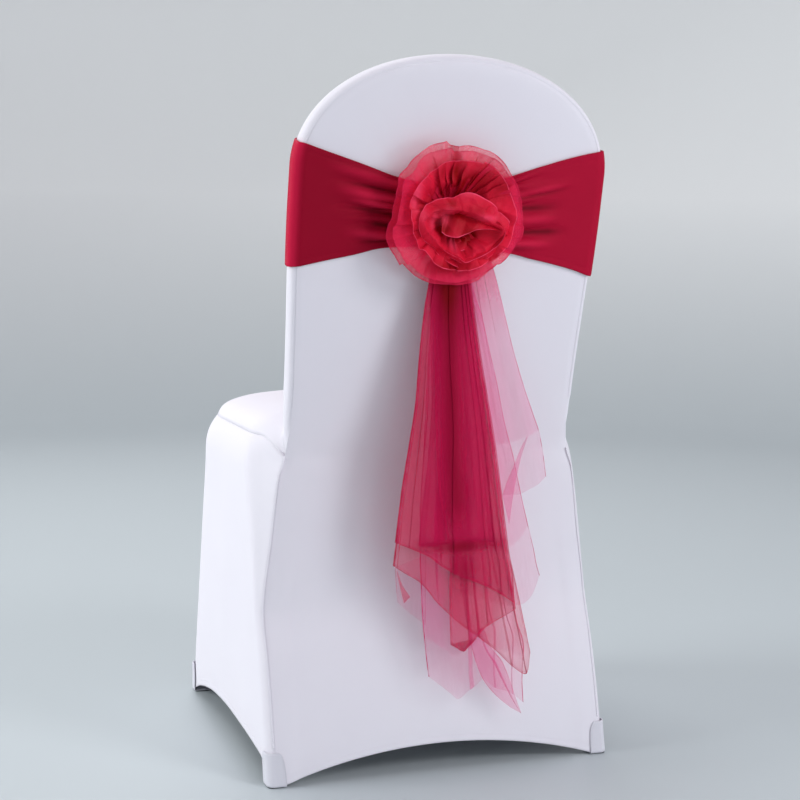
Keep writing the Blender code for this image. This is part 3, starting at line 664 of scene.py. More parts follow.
def frontShares():
    # Places across the seat from 1 to -1, closer together near both sides
    wrap, inner, side = frontLook["bandColumns"], frontLook["innerColumns"], frontLook["sideShare"]
    shares = [mix(1.0, 1.0 - side, c / (wrap - 1)) for c in range(wrap)]
    shares += [(1.0 - side) * (1.0 - 2.0 * (c + 1) / (inner + 1)) for c in range(inner)]
    return shares + [-share for share in reversed(shares[:wrap])]


def frontEdge(z):
    return frontCornerPoint(z, 45) - Vector((0.0002, 0.0002, 0.0))


def insideBackRow(x, z, normalX, normalZ):
    # From one side to the other, with the strip round both edges
    top = frontLook["liftFromZ"]
    inner = frontLook["innerColumns"]
    lift = seat["junctionLift"] * smoothStep((top - z) / (top - back["waistZ"]))
    left = [backPoint(max(x + out * normalX, 0.0006), z + out * normalZ + share * lift, depth)
            for (out, depth), share in zip(bandSteps, bandLifts)]
    level = z + bandSteps[-1][0] * normalZ
    middle = []
    for column in range(inner):
        share = 1.0 - 2.0 * (column + 1) / (inner + 1)
        rise = lift * mix(1.0, bandLifts[-1], abs(share) ** 3)
        depth = -back["thickness"] - back["padding"] * (1.0 - share * share) * min(1.0, x / 0.12)
        middle.append(backPoint(share * left[-1].x, level + rise, depth))
    return left + middle + mirrored(reversed(left))


def seatRow(share, lastBack, shares):
    start = frontEdge(seat["seamZ"]) if share == 1.0 else sidePoint(share, sideTopZ(share), 0.0)
    baseY = frontLook["backBaseY"]
    frontY = frontCornerPoint(seat["seamZ"], 90).y
    row = []
    for above, across in zip(lastBack, shares):
        y = mix(start.y, mix(baseY, frontY, share ** 1.15), 1.0 - abs(across) ** 2.6)
        travel = min(max((baseY - y) / (baseY - frontY), 0.0), 1.0)
        point = Vector((across * start.x, y, start.z + seatRise(across, travel)))
        row.append(above.lerp(point, smoothStep(share / 0.07)))
    return row


def frontSkirtRow(down, shares):
    row = []
    for across in shares:
        z = mix(seat["seamZ"], rearHemZ(frontCornerPoint(0.02, 45).x * abs(across)), down)
        turn = frontCornerPoint(z, 90)
        reach = abs(across) * frontEdge(z).x
        y = turn.y + 0.0004 * atHemStitch(down)
        if reach > turn.x:
            sine = min((reach - turn.x) / cornerRadius(z), 1.0)
            y += cornerRadius(z) * (1.0 - math.sqrt(1.0 - sine * sine))
        row.append(Vector((math.copysign(reach, across), y, z)))
    return row


def frontPanelGrid():
    shares = frontShares()
    grid = [insideBackRow(*place) for place in backOutline()]
    backRows = len(grid)
    lastBack = grid[-1]
    rows = frontLook["seatRows"]
    grid += [seatRow((step + 1) / rows, lastBack, shares) for step in range(rows)]
    seatEnd = len(grid)
    grid += [frontSkirtRow(down, shares) for down in skirtSteps(frontLook["skirtRows"])]
    relax(grid, 26, backRows - 6, backRows + 9)
    relax(grid, 6, backRows - 12, seatEnd + 20)
    return grid, backRows


def makeFrontPanel():
    # One grid holds both pieces; the strip takes the outer columns above the waist
    grid, backRows = frontPanelGrid()
    wrap = frontLook["bandColumns"]
    inner = frontLook["innerColumns"]
    columns = 2 * wrap + inner
    bandColumns = [*range(wrap - 1), *range(columns - wrap, columns - 1)]
    bandCells = {(row, column) for row in range(backRows - 1) for column in bandColumns}
    allCells = {(row, column) for row in range(len(grid) - 1) for column in range(columns - 1)}
    front = makeSheet("frontPanel", grid, whiteCloth, panelCloth, away=(0.0, 0.05, 0.3), openCells=bandCells,
                      caps=[[(0, wrap + inner - c) for c in range(inner + 2)]])
    settle(front, "white_stretch_cloth", "front_panel")
    strip = [[point.copy() for point in row] for row in grid[:backRows]]
    for row in strip:
        for inside, outside in ((wrap - 1, wrap - 2), (columns - wrap, columns - wrap + 1)):
            row[inside] = row[inside].lerp(row[outside], 0.12)
    for point in strip[-1]:
        point.z -= 0.0016
    band = makeSheet("backEdgeBand", strip, whiteCloth, panelCloth, away=tuple(backPoint(0.0, 0.62, -0.015)),
                     openCells=allCells - bandCells,
                     caps=[[(0, c), (0, columns - 1 - c), (0, columns - 2 - c), (0, c + 1)] for c in range(wrap - 1)])
    settle(band, "white_stretch_cloth", "back_edge_band")


makeFrontPanel()
print("front panel and edge band made")


def sewHem(name, grid, columns, outwards):
    # A row of stitches across a panel where its hem is turned up; outwards points off the cloth
    bottom = len(grid) - 1
    line = []
    for column in columns:
        low = grid[bottom][column]
        row = max(r for r in range(bottom) if grid[r][column].z - low.z >= hem["band"])
        above, below = grid[row][column], grid[row + 1][column]
        share = (above.z - low.z - hem["band"]) / max(above.z - below.z, 1e-9)
        line.append(above.lerp(below, min(max(share, 0.0), 1.0)) + outwards * (panelCloth + 0.0001))
    stitches = sewLine(name, line, [outwards] * len(line), whiteThread)
    settle(stitches, "white_stretch_cloth")


sewHem("rearHemStitches", rearGrid, range(1, len(rearGrid[0]) - 1), Vector((0.0, 1.0, 0.0)))
sewHem("leftHemStitches", leftSideGrid, range(5, len(leftSideGrid[0]) - 6), Vector((1.0, 0.0, 0.0)))
sewHem("rightHemStitches", rightSideGrid, range(5, len(rightSideGrid[0]) - 6), Vector((-1.0, 0.0, 0.0)))

ridgeLook = {"length": 0.003, "gap": 0.00005, "radius": 0.001}
for name, side in (("leftSeamRidge", 1.0), ("rightSeamRidge", -1.0)):
    outwards = Vector((0.45 * side, 0.9, 0.0)).normalized()
    line = [Vector((side * seamX(z), seamY(z), z)) + outwards * (panelCloth - 0.0003)
            for z in (mix(0.413, 0.048, step / 120) for step in range(121))]
    ridge = sewLine(name, line, [outwards] * len(line), whiteThread, ridgeLook)
    settle(ridge, "white_stretch_cloth")
print("hems and rear seams sewn")


# Leg pockets and soles

pocketSizes = {"width": 0.0235, "height": 0.043, "clear": 0.0021, "cloth": 0.0012, "columns": 40, "rows": 22}
soleSizes = {"size": 0.0215, "corner": 0.0045,
             "profile": ((0.02, 0.0), (0.9, 0.0), (1.0, 0.00015), (1.0, 0.00085), (0.97, 0.001), (0.9, 0.00092),
                         (0.02, 0.00085))}


def pocketPoint(along, up, rear):
    # along runs from the edge on the rear or front face round the corner to the edge on the side
    look = pocketSizes
    width = look["width"]
    edge = min(along, 1.0 - along) * 2.0 * width / 0.011
    top = look["height"] * (0.36 + 0.64 * math.sqrt(max(0.0, 1.0 - (1.0 - min(edge, 1.0)) ** 2.4)))
    z = mix(0.0029, top, up)
    path = smoothPath(((-width, 0.0), (-width + 0.008, 0.0), (-0.008, 0.0), (-0.0026, 0.0026),
                       (0.0, 0.0085), (0.0, width - 0.008), (0.0, width)))
    across, forward = path(along)
    x = seat["sideX"] + look["clear"] + across
    if rear:
        return Vector((x, seamY(z) + look["clear"] - forward, z))
    return Vector((x, seat["frontY"] - look["clear"] + forward, z))


def makePocket(name, node, side, rear):
    look = pocketSizes
    grid = []
    for row in range(look["rows"] + 1):
        up = 1.0 - row / look["rows"]
        grid.append([pocketPoint(c / look["columns"], up, rear) for c in range(look["columns"] + 1)])
    pivotY = grid[-1][0].y + (-look["width"] if rear else look["width"])
    pivot = Vector((seat["sideX"] - look["width"], pivotY, 0.0024))
    for inward in (0.02, 0.06, 0.2, 0.4, 0.6, 0.8, 0.93):
        grid.append([Vector((*point.lerp(pivot, inward).xy, pivot.z)) for point in grid[look["rows"]]])
    points = [[Vector((side * point.x, point.y, point.z)) for point in row] for row in grid]
    pocket = makeSheet(name, points, pocketCloth, look["cloth"], away=(side * pivot.x, pivotY, 0.03))
    settle(pocket, "white_pocket_cloth", node)
    seamPoints = []
    seamNormals = []
    outline = [(0.03, up / 10) for up in range(1, 10)]
    outline += [(mix(0.03, 0.97, step / 40), 0.955) for step in range(41)]
    outline += [(0.97, up / 10) for up in range(9, 0, -1)]
    for along, up in outline:
        here = pocketPoint(along, up, rear)
        beside = pocketPoint(min(along + 0.02, 1.0), up, rear) - pocketPoint(max(along - 0.02, 0.0), up, rear)
        outwards = Vector((beside.y, -beside.x, 0.0)).normalized()
        if outwards.dot(here - pivot) < 0.0:
            outwards = -outwards
        here = here + outwards * (look["cloth"] + 0.0001)
        seamPoints.append(Vector((side * here.x, here.y, here.z)))
        seamNormals.append(Vector((side * outwards.x, outwards.y, 0.0)))
    stitches = sewLine(name + "Stitches", seamPoints, seamNormals, whiteThread, {"length": 0.0024, "gap": 0.0008})
    settle(stitches, "white_pocket_cloth")


# A thin plate under each foot pocket, dark all over
def makeSole(name, node, side, rear):
    look = soleSizes
    faceY = seamY(0.0) if rear else seat["frontY"]
    middle = Vector((side * (seat["sideX"] - look["size"] / 2 + 0.001),
                     faceY + (-look["size"] / 2 if rear else look["size"] / 2), 0.0))
    outline = []
    for quarter in range(4):
        for step in range(7):
            angle = math.pi / 2 * (quarter + step / 6)
            reach = look["size"] / 2 - look["corner"]
            centreX = reach * (1 if quarter in (0, 3) else -1)
            centreY = reach * (1 if quarter in (0, 1) else -1)
            outline.append((centreX + look["corner"] * math.cos(angle), centreY + look["corner"] * math.sin(angle)))
    rows = [[middle + Vector((x * shrink, y * shrink, z)) for x, y in outline] for shrink, z in look["profile"]]
    count = len(outline)
    caps = [[(0, c) for c in range(count)], [(len(rows) - 1, c) for c in reversed(range(count))]]
    settle(makeSheet(name, rows, darkSoleFinish, closed=True, caps=caps), "dark_sole", node)


for sideName, side in (("left", 1.0), ("right", -1.0)):
    for endName, rear in (("rear", True), ("front", False)):
        where = endName.capitalize() + sideName.capitalize()
        makePocket("pocket" + where, f"foot_pocket_{endName}_{sideName}", side, rear)
        makeSole("sole" + where, f"foot_sole_{endName}_{sideName}", side, rear)
print("pockets and soles made")


# Sash, gathered behind the rosette

sashMiddleX = 0.007
sashSizes = {"lift": 0.0025, "cloth": 0.0014, "rows": 72, "rearColumns": 170, "frontColumns": 50, "pleats": 5.0,
             "pleatDepth": 0.0052, "pullScale": 2.8, "lowest": -0.001}
sashRows = (
    (-0.204, 0.6505, 0.8135), (-0.18, 0.659, 0.809), (-0.15, 0.6665, 0.802), (-0.12, 0.673, 0.7935),
    (-0.088, 0.68, 0.784), (-0.05, 0.686, 0.774), (0.01, 0.69, 0.768), (0.05, 0.6895, 0.77),
    (0.0835, 0.6875, 0.7765), (0.133, 0.6765, 0.792), (0.1715, 0.668, 0.803), (0.203, 0.6605, 0.812),
)
sashBottom = smoothCurve(sashRows, 1)
sashTop = smoothCurve(sashRows, 2)
sashSide = {"bottom": 0.659, "top": 0.813}
sashEdgeSteps = ((0.0006, -0.003), (0.001, -0.0065), (0.001, -0.0105), (0.0006, -0.015), (0.0002, -0.0195),
                 (-0.0008, -0.024), (-0.0032, -0.0272), (-0.0065, -0.029))
# Long pulls that run out from the rosette: (x, z) at each end, half width and height
sashPulls = (
    ((0.06, 0.752), (0.176, 0.773), 0.0042, -0.0016), ((0.06, 0.726), (0.178, 0.742), 0.0045, -0.0015),
    ((0.06, 0.711), (0.124, 0.719), 0.0045, -0.003), ((0.07, 0.697), (0.142, 0.692), 0.004, -0.0016),
    ((0.07, 0.744), (0.166, 0.761), 0.0048, 0.0019), ((0.07, 0.765), (0.185, 0.79), 0.005, 0.0012),
    ((0.066, 0.735), (0.15, 0.749), 0.0035, 0.0016), ((0.07, 0.703), (0.15, 0.705), 0.0045, 0.0016),
    ((-0.07, 0.751), (-0.178, 0.776), 0.005, 0.0018), ((-0.07, 0.749), (-0.172, 0.768), 0.0032, -0.0016),
    ((-0.07, 0.737), (-0.16, 0.743), 0.0045, -0.0018), ((-0.07, 0.724), (-0.165, 0.728), 0.0055, 0.0016),
    ((-0.07, 0.708), (-0.172, 0.7105), 0.0042, -0.003), ((-0.07, 0.697), (-0.16, 0.692), 0.005, 0.0018),
)


def pullsAt(x):
    # Every pull that crosses this place: its height there, strength, half width and lift
    for (startX, startZ), (endX, endZ), width, lift in sashPulls:
        if (endX - x) * (endX - startX) >= 0.0 and x * endX >= 0.0:
            along = (x - startX) / (endX - startX)
            strength = smoothStep((1.0 - along) / 0.6) * smoothStep((along + 0.35) / 0.3)
            yield mix(startZ, endZ, along), strength, width * mix(1.0, 1.5, max(along, 0.0)), lift


def sashPleat(x, z, up):
    fade = smoothStep((0.15 - abs(x - sashMiddleX)) / 0.075)
    phase = 0.9 if x > sashMiddleX else 0.2
    warp = 0.12 * math.sin(7.0 * up + 3.0 * phase) + 0.05 * math.sin(17.0 * up + 40.0 * x)
    wave = 0.5 + 0.5 * math.sin(math.tau * (sashSizes["pleats"] * (up + warp) + phase))
    height = sashSizes["pleatDepth"] * fade * wave
    for line, strength, width, lift in pullsAt(x):
        height += sashSizes["pullScale"] * lift * strength * bump(z - line, width)
    return max(height, sashSizes["lowest"] + 0.1 * (height - sashSizes["lowest"]))


def sashPaintedLight(x, z, sign):
    # Painted shade: how deep in a fold the cloth lies, and more over the +X side (sign -1); painted highlight: how far
    # up on a crest, and more over the -X side (sign 1); from 0 to 1
    distance = abs(x - sashMiddleX)
    tone = 0.0
    for line, strength, width, lift in pullsAt(x):
        if lift * sign >= 0.0:
            tone = max(tone, min(strength * abs(lift) / 0.0019, 1.0) * bump(z - line, 0.8 * width))
    tone *= smoothStep((0.2 - distance) / 0.06)
    if sign * x >= 0.0:
        return tone
    side = smoothStep((0.05 - sign * x) / 0.04) * smoothStep((distance - 0.055) / 0.02)
    return max(tone, (0.24 - 0.08 * sign) * side)


def sashEdge(side, endX, up, sideZ):
    # Round the edge of the back, from the rear face to the front one
    lift = sashSizes["lift"]
    start = mix(sashBottom(endX), sashTop(endX), up)
    points = []
    for index, (out, depth) in enumerate(sashEdgeSteps):
        z = mix(start, sideZ, smoothStep((index + 1) / 3))
        lower = lift if depth < -0.028 else 0.0
        points.append(backPoint(side * (halfWidthAt(z) + out + 1.15 * lift), z, depth - lower))
    return points


def sashGrid():
    look = sashSizes
    lift = look["lift"]
    count = look["rearColumns"]
    rearShares = [1.0 - 2.0 * c / count for c in range(count + 1)]
    frontShares = [-0.93 + 1.86 * c / look["frontColumns"] for c in range(look["frontColumns"] + 1)]
    grid = []
    paintedFoldShades = []
    paintedCrestLights = []
    for row in range(look["rows"] + 1):
        up = row / look["rows"]
        hemRoll = 0.0004 * (bump(up - 0.055, 0.012) + bump(up - 0.945, 0.012))
        ring = []
        foldShadeRow = []
        crestLightRow = []
        for share in rearShares:
            x = share * (back["halfWidth"] - 0.002)
            z = mix(sashBottom(x), sashTop(x), up)
            half = halfWidthAt(z)
            x = share * (half - 0.0008)
            corner = smoothStep((abs(share) - 0.965) / 0.035)
            out = 0.9 * lift * corner * math.copysign(1.0, share)
            swell = back["swell"] * max(0.0, 1.0 - (x / half) ** 2)
            depth = swell + mix(lift, -0.0004, corner) + sashPleat(x, z, up) - hemRoll
            ring.append(backPoint(x + out, z, depth))
            # Painted shade in the folds; painted highlight on the crests and on the +X corner, which faces the side
            # light
            foldShadeRow.append(sashPaintedLight(x, z, -1.0))
            crestLightRow.append(max(0.8 * sashPaintedLight(x, z, 1.0), 0.9 * corner if x > 0.0 else 0.0))
        sideZ = mix(sashSide["bottom"], sashSide["top"], up)
        half = halfWidthAt(sideZ)
        right = sashEdge(-1.0, -0.204, up, sideZ)
        left = sashEdge(1.0, 0.203, up, sideZ)
        front = []
        for share in frontShares:
            depth = -back["thickness"] - back["padding"] * (1.0 - share * share) - 1.4 * lift
            soft = 0.0006 * math.sin(21.0 * up + 3.0 * share) * (1.0 - share * share)
            front.append(backPoint(share * half * 0.985, sideZ, depth - soft))
        grid.append(ring + right + front + left[::-1])
        plain = [0.0] * len(front)
        fading = [1.0 - (index + 1) / len(left) for index in range(len(left))]
        paintedFoldShades.append(foldShadeRow + [0.0] * len(right + left) + plain)
        # Painted highlight on the edge strips round the back, strongest on the +X one, which faces the side light
        paintedCrestLights.append(crestLightRow + [0.2 * share for share in fading] + plain + [0.9 * share for share in fading[::-1]])
    return grid, paintedFoldShades, paintedCrestLights


grid, paintedFoldShades, paintedCrestLights = sashGrid()
sash = makeSheet("sash", grid, sashCloth, sashSizes["cloth"], closed=True,
                 away=tuple(backPoint(0.0, 0.735, -0.015)), attributes={"paintedFoldShade": paintedFoldShades, "paintedCrestLight": paintedCrestLights})
settle(sash, "crimson_stretch_cloth", "sash_band")
print("sash made")


# Organza: the rosette
rosette = {"x": 0.0085, "z": 0.7341}
eye = {"x": 0.0049, "z": 0.72}
behindBack = tuple(backPoint(0.0, 0.73, -0.3))


def ringCurve(rows):
    # A smooth closed curve over the angle in degrees, from +X towards the top
    ordered = sorted(rows)
    before = [(angle - 360.0, *rest) for angle, *rest in ordered[-4:]]
    after = [(angle + 360.0, *rest) for angle, *rest in ordered[:4]]
    return smoothCurve(before + ordered + after)


def rosettePoint(radius, degrees, depth, centre=rosette):
    angle = math.radians(degrees)
    return backPoint(centre["x"] + radius * math.cos(angle), centre["z"] + radius * math.sin(angle), depth)


def ripple(degrees, along, seed, scale=1.0):
    # Uneven softness that closes on itself round the rosette
    angle = math.radians(degrees)
    return noise.noise(Vector((scale * math.cos(angle) + seed, scale * math.sin(angle), 1.7 * along + 0.37 * seed)))


def crease(x, z, seed, scale):
    # Sharp little ridges, as crushed organza has
    return 0.5 - 2.0 * abs(noise.noise(Vector((scale * x + seed, scale * z - seed, 0.6 * seed))))


def crushed(x, z, seed, height):
    return height * (crease(x, z, seed, 24.0) + 0.34 * crease(x, z, seed + 7.0, 62.0))


def apart(degrees, angle):
    return (degrees - angle + 180.0) % 360.0 - 180.0


backNormal = Vector((0.0, 1.0, -back["lean"])).normalized()


# Painted shade where the rosette's folds lie deep, and painted highlight where they catch the light: (x, z, half
# width, half height, amount)
ruffleShadeSpots = (
    (-.015, .773, .026, .014, .75), (-.05, .76, .016, .016, .55), (.0145, .782, .007, .012, .85),
    (.034, .78, .006, .011, .6), (.052, .712, .01, .016, .6), (.013, .66, .036, .011, .8),
    (.098, .73, .022, .045, .5),
)
ruffleHighlightSpots = (
    (.038, .823, .022, .011, .4), (.069, .767, .0085, .016, .55), (.066, .742, .007, .016, .5),
    (.055, .789, .012, .008, .4), (-.024, .683, .016, .005, .4),
)
petalShadeSpots = (
    (.0215, .7405, .0085, .008, .7), (-.0125, .733, .02, .007, .35), (-.007, .702, .012, .008, .8),
    (.039, .733, .009, .01, .45), (-.045, .701, .008, .012, .4), (.027, .706, .005, .012, .6),
)
petalHighlightSpots = (
    (-.012, .762, .028, .0095, .85), (.02, .76, .014, .008, .4), (.025, .724, .008, .01, .4),
    (-.032, .724, .017, .004, .45), (-.052, .735, .01, .005, .5), (.042, .718, .005, .012, .4),
    (.01, .69, .006, .008, .4), (.06, .73, .006, .014, .4),
)


def spots(x, z, rows):
    return sum(amount * bump(math.hypot((x - middleX) / wide, (z - middleZ) / high), 1.0)
               for middleX, middleZ, wide, high, amount in rows)


def clothMasks(grid, closed, gatherAndShadeRows, rimRows=2, rimColumns=0, hemRows=(), hemColumns=(), rimShare=1.0,
               shadeAndPaleSpots=(), lights=()):
    # The gather mask is high where the cloth is bunched or stands on edge, and takes painted shade from the shade
    # spots; the rim mask marks its rolled edges and hem lines, and takes painted highlight from the light spots
    width = len(grid[0])
    lastRow = len(grid) - 1
    gatherAndShade = []
    rim = []
    for row, points in enumerate(grid):
        gatherAndShadeRow = []
        rimRow = []
        for column in range(width):
            if closed:
                before, after = points[column - 1], points[(column + 1) % width]
            else:
                before, after = points[max(column - 1, 0)], points[min(column + 1, width - 1)]
            step = after - before
            steep = abs(step.dot(backNormal)) / max(step.length, 1e-6)
            fromSide = min(column, width - 1 - column)
            place = points[column]
            deep = gatherAndShadeRows[row] + 0.4 * smoothStep((steep - 0.35) / 0.6)
            # Painted shade from the shade spots
            gatherAndShadeRow.append(min(1.0, deep + spots(place.x, place.z, shadeAndPaleSpots)))
            onRim = row > lastRow - rimRows or fromSide < rimColumns
            onHem = lastRow - row in hemRows or fromSide in hemColumns
            patchy = 0.62 + 0.55 * noise.noise(Vector((90.0 * place.x, 40.0 * place.y, 90.0 * place.z)))
            # Painted highlight from the light spots
            lit = min(0.8, spots(place.x, place.z, lights))
            rimRow.append(max(lit, rimShare * patchy if onRim else 0.6 * patchy if onHem else 0.0))
        gatherAndShade.append(gatherAndShadeRow)
        rim.append(rimRow)
    return {"gatherAndShade": gatherAndShade, "rim": rim}


outerRim = ringCurve((
    (9, .0824), (21, .0862), (32, .0923), (40, .0895), (50, .0918), (59, .0934), (70, .0919), (78, .0915),
    (82, .0852), (96, .0864), (109, .087), (120, .089), (132, .0891), (143, .089), (151, .0899), (162, .0896),
    (170, .0917), (179, .0928), (192, .0945), (205, .0948), (215, .0943), (226, .0898), (240, .0897), (252, .089),
    (270, .0876), (280, .0875), (290, .0888), (301, .0893), (315, .0883), (317, .0925), (327, .0917), (336, .0932),
    (342, .0937), (350, .09), (359, .084),
))
middleRim = ringCurve((
    (1, .0641), (19, .0673), (29, .0693), (43, .0681), (55, .0684), (67, .0711), (74, .0704), (81, .0698),
    (90, .0689), (99, .0694), (110, .0716), (120, .0753), (131, .0745), (145, .0747), (160, .0756), (173, .078),
    (188, .0788), (200, .0788), (213, .0769), (227, .0733), (243, .0693), (260, .0673), (278, .0656), (297, .0633),
    (311, .0585), (320, .0624), (335, .0609),
))
eyeRim = ringCurve((
    (7, .0519), (11, .0534), (24, .0494), (32, .0434), (41, .0368), (57, .029), (80, .0238), (105, .0216),
    (128, .0245), (149, .0299), (170, .0423), (181, .0547), (190, .0519), (203, .0466), (209, .0423), (229, .0366),
    (258, .0386), (270, .0321), (287, .0308), (320, .0327), (338, .0342), (357, .0446),
))
eyeOuter = ringCurve((
    (2, .056), (16, .059), (28, .0569), (42, .0526), (54, .047), (72, .0404), (88, .0441), (103, .0459),
    (124, .0472), (144, .0526), (161, .059), (173, .0668), (183, .0669), (196, .064), (210, .0617), (223, .0554),
    (241, .0492), (258, .0453), (273, .0396), (293, .037), (318, .0388), (345, .05),
))

# Ruffles: a radial strip gathered in the middle; lobes are (angle, width in degrees, height at the rim, from share)
ruffles = {
    "ruffleBack": {
        "node": "ruffle_back", "rim": outerRim, "scale": 1.0, "hole": 0.012, "seat": 0.0112, "rise": 0.024,
        "flare": 0.62, "broad": 11, "broadDepth": 0.0026, "gatherAndShadeRows": 30, "gatherDepth": 0.0016, "overlap": 2.1,
        "openFrom": 0.45, "openOver": 0.5, "crush": 0.0024, "seed": 3.0, "gatherAndShade": 0.45, "flat": (0.6, 0.08),
        "area": 0.037,
        "lobes": ((81.0, 3.0, -0.011, 0.3), (88.0, 4.0, 0.005, 0.3), (315.0, 4.0, -0.008, 0.5),
                  (228.0, 6.0, -0.005, 0.45), (193.0, 7.0, 0.004, 0.45), (150.0, 6.0, -0.004, 0.4),
                  (262.0, 6.0, 0.004, 0.45), (30.0, 8.0, 0.004, 0.45)),
    },
    "ruffleFront": {
        "node": "ruffle_front", "rim": outerRim, "scale": 0.935, "hole": 0.012, "seat": 0.0135, "rise": 0.031,
        "flare": 0.66, "broad": 9, "broadDepth": 0.0032, "gatherAndShadeRows": 26, "gatherDepth": 0.0019, "overlap": 2.2,
        "openFrom": 0.5, "openOver": 0.5, "crush": 0.004, "seed": 8.0, "gatherAndShade": 0.6, "flat": (0.58, 0.078),
        "area": 0.038,
        "lobes": ((84.0, 3.0, -0.009, 0.3), (300.0, 6.0, 0.005, 0.4), (240.0, 7.0, -0.005, 0.4),
                  (205.0, 6.0, 0.004, 0.4), (165.0, 7.0, -0.004, 0.4), (125.0, 8.0, 0.0035, 0.4),
                  (50.0, 9.0, -0.0035, 0.4), (340.0, 7.0, 0.004, 0.4)),
    },
    "ruffleMiddle": {
        "node": "ruffle_middle", "rim": middleRim, "scale": 1.0, "hole": 0.011, "seat": 0.016, "rise": 0.0335,
        "flare": 0.75, "broad": 7, "broadDepth": 0.0022, "gatherAndShadeRows": 28, "gatherDepth": 0.0018, "overlap": 2.4,
        "openFrom": 0.55, "openOver": 0.6, "crush": 0.006, "seed": 14.0, "gatherAndShade": 0.95, "flat": (0.5, 0.066),
        "area": 0.028,
        "lobes": ((352.0, 9.0, 0.006, 0.25), (12.0, 7.0, -0.007, 0.25), (32.0, 9.0, 0.006, 0.25),
                  (54.0, 6.0, -0.006, 0.2), (118.0, 10.0, -0.002, 0.3), (222.0, 8.0, -0.004, 0.35),
                  (244.0, 8.0, 0.005, 0.3), (268.0, 7.0, -0.006, 0.25), (292.0, 8.0, 0.006, 0.25),
                  (318.0, 7.0, -0.007, 0.25)),
    },
}
gatherFan = {"angle": 92.0, "width": 34.0, "extra": 0.0022, "sink": 0.006}


def ruffleGrid(look, columns=768, rings=26):
    steps = [ring / rings * 0.984 for ring in range(rings + 1)] + [0.9845, 1.0]
    grid = []
    for along in steps:
        row = []
        closed = 1.0 - smoothStep((along - look["openFrom"]) / look["openOver"])
        for column in range(columns):
            degrees = 360.0 * column / columns
            turn = math.radians(degrees)
            drift = ripple(degrees, 0.0, look["seed"], 1.6)
            uneven = 1.0 + 0.9 * ripple(degrees, 0.3 * along, look["seed"] + 2.0, 3.0)
            sway = 1.1 * along * ripple(degrees, along, look["seed"] + 9.0, 4.0)
            phase = look["gatherAndShadeRows"] * turn + 5.0 * drift + sway
            outwards = along ** 1.1
            depth = look["seat"] + look["rise"] * outwards ** look["flare"]
            depth += look["broadDepth"] * along ** 1.4 * math.sin(look["broad"] * turn + 2.6 * drift + look["seed"])
            pleatHeight = look["gatherDepth"] * math.sin(math.pi * min(along + 0.06, 1.0)) ** 0.5 * uneven
            if look["node"] == "ruffle_middle":
                fan = bump(apart(degrees, gatherFan["angle"]), gatherFan["width"])
                pleatHeight += gatherFan["extra"] * fan * math.sin(math.pi * min(along + 0.1, 1.0))
                depth -= gatherFan["sink"] * fan * (1.0 - along)
            depth -= pleatHeight * math.sin(phase) * mix(0.35, 1.0, closed)
            for angle, width, height, start in look["lobes"]:
                depth += height * bump(apart(degrees, angle), width) * smoothStep((along - start) / 0.5)
            foldOver = (0.45 + look["overlap"] * closed) * uneven / look["gatherAndShadeRows"]
            radius = mix(look["hole"], look["rim"](degrees % 360.0) * look["scale"], outwards)
            place = rosettePoint(radius, degrees + math.degrees(foldOver * math.sin(phase)), depth)
            lift = crushed(place.x, place.z, look["seed"], look["crush"]) * smoothStep(along / 0.35)
            row.append(place + backNormal * lift)
        grid.append(row)
    gatherAndShadeRows = [look["gatherAndShade"] * (1.0 - smoothStep((along - 0.1) / 0.75)) for along in steps]
    return grid, gatherAndShadeRows


for name, look in ruffles.items():
    grid, gatherAndShadeRows = ruffleGrid(look)
    cloth = petalOrganza if look["node"] == "ruffle_middle" else rosetteOrganza
    masks = clothMasks(grid, True, gatherAndShadeRows, shadeAndPaleSpots=ruffleShadeSpots,
                       lights=ruffleHighlightSpots if cloth == petalOrganza else ())
    ruffle = makeSheet(name, grid, cloth, closed=True, away=behindBack, attributes=masks)
    settle(ruffle, "red_organza", look["node"])
print("ruffles made")

eyePetalLook = {"rings": 52, "columns": 360, "rollShare": 0.5, "floorDepth": 0.0215, "rimDepth": 0.054,
                "edgeDepth": 0.0455, "crush": 0.006, "flat": (0.3, 0.062), "area": 0.0145}
# Creases across the eye petal: (angle, width in degrees, height)
eyeCreases = ((20.0, 5.0, 0.0022), (38.0, 4.0, -0.0024), (60.0, 6.0, 0.002), (84.0, 4.0, -0.002),
              (116.0, 7.0, 0.0016), (146.0, 5.0, -0.0018), (176.0, 5.0, 0.0024), (204.0, 5.0, -0.0022),
              (228.0, 5.0, 0.0024), (252.0, 4.0, -0.003), (274.0, 5.0, 0.0026), (300.0, 5.0, -0.0024),
              (330.0, 6.0, 0.0026), (352.0, 4.0, -0.0022))


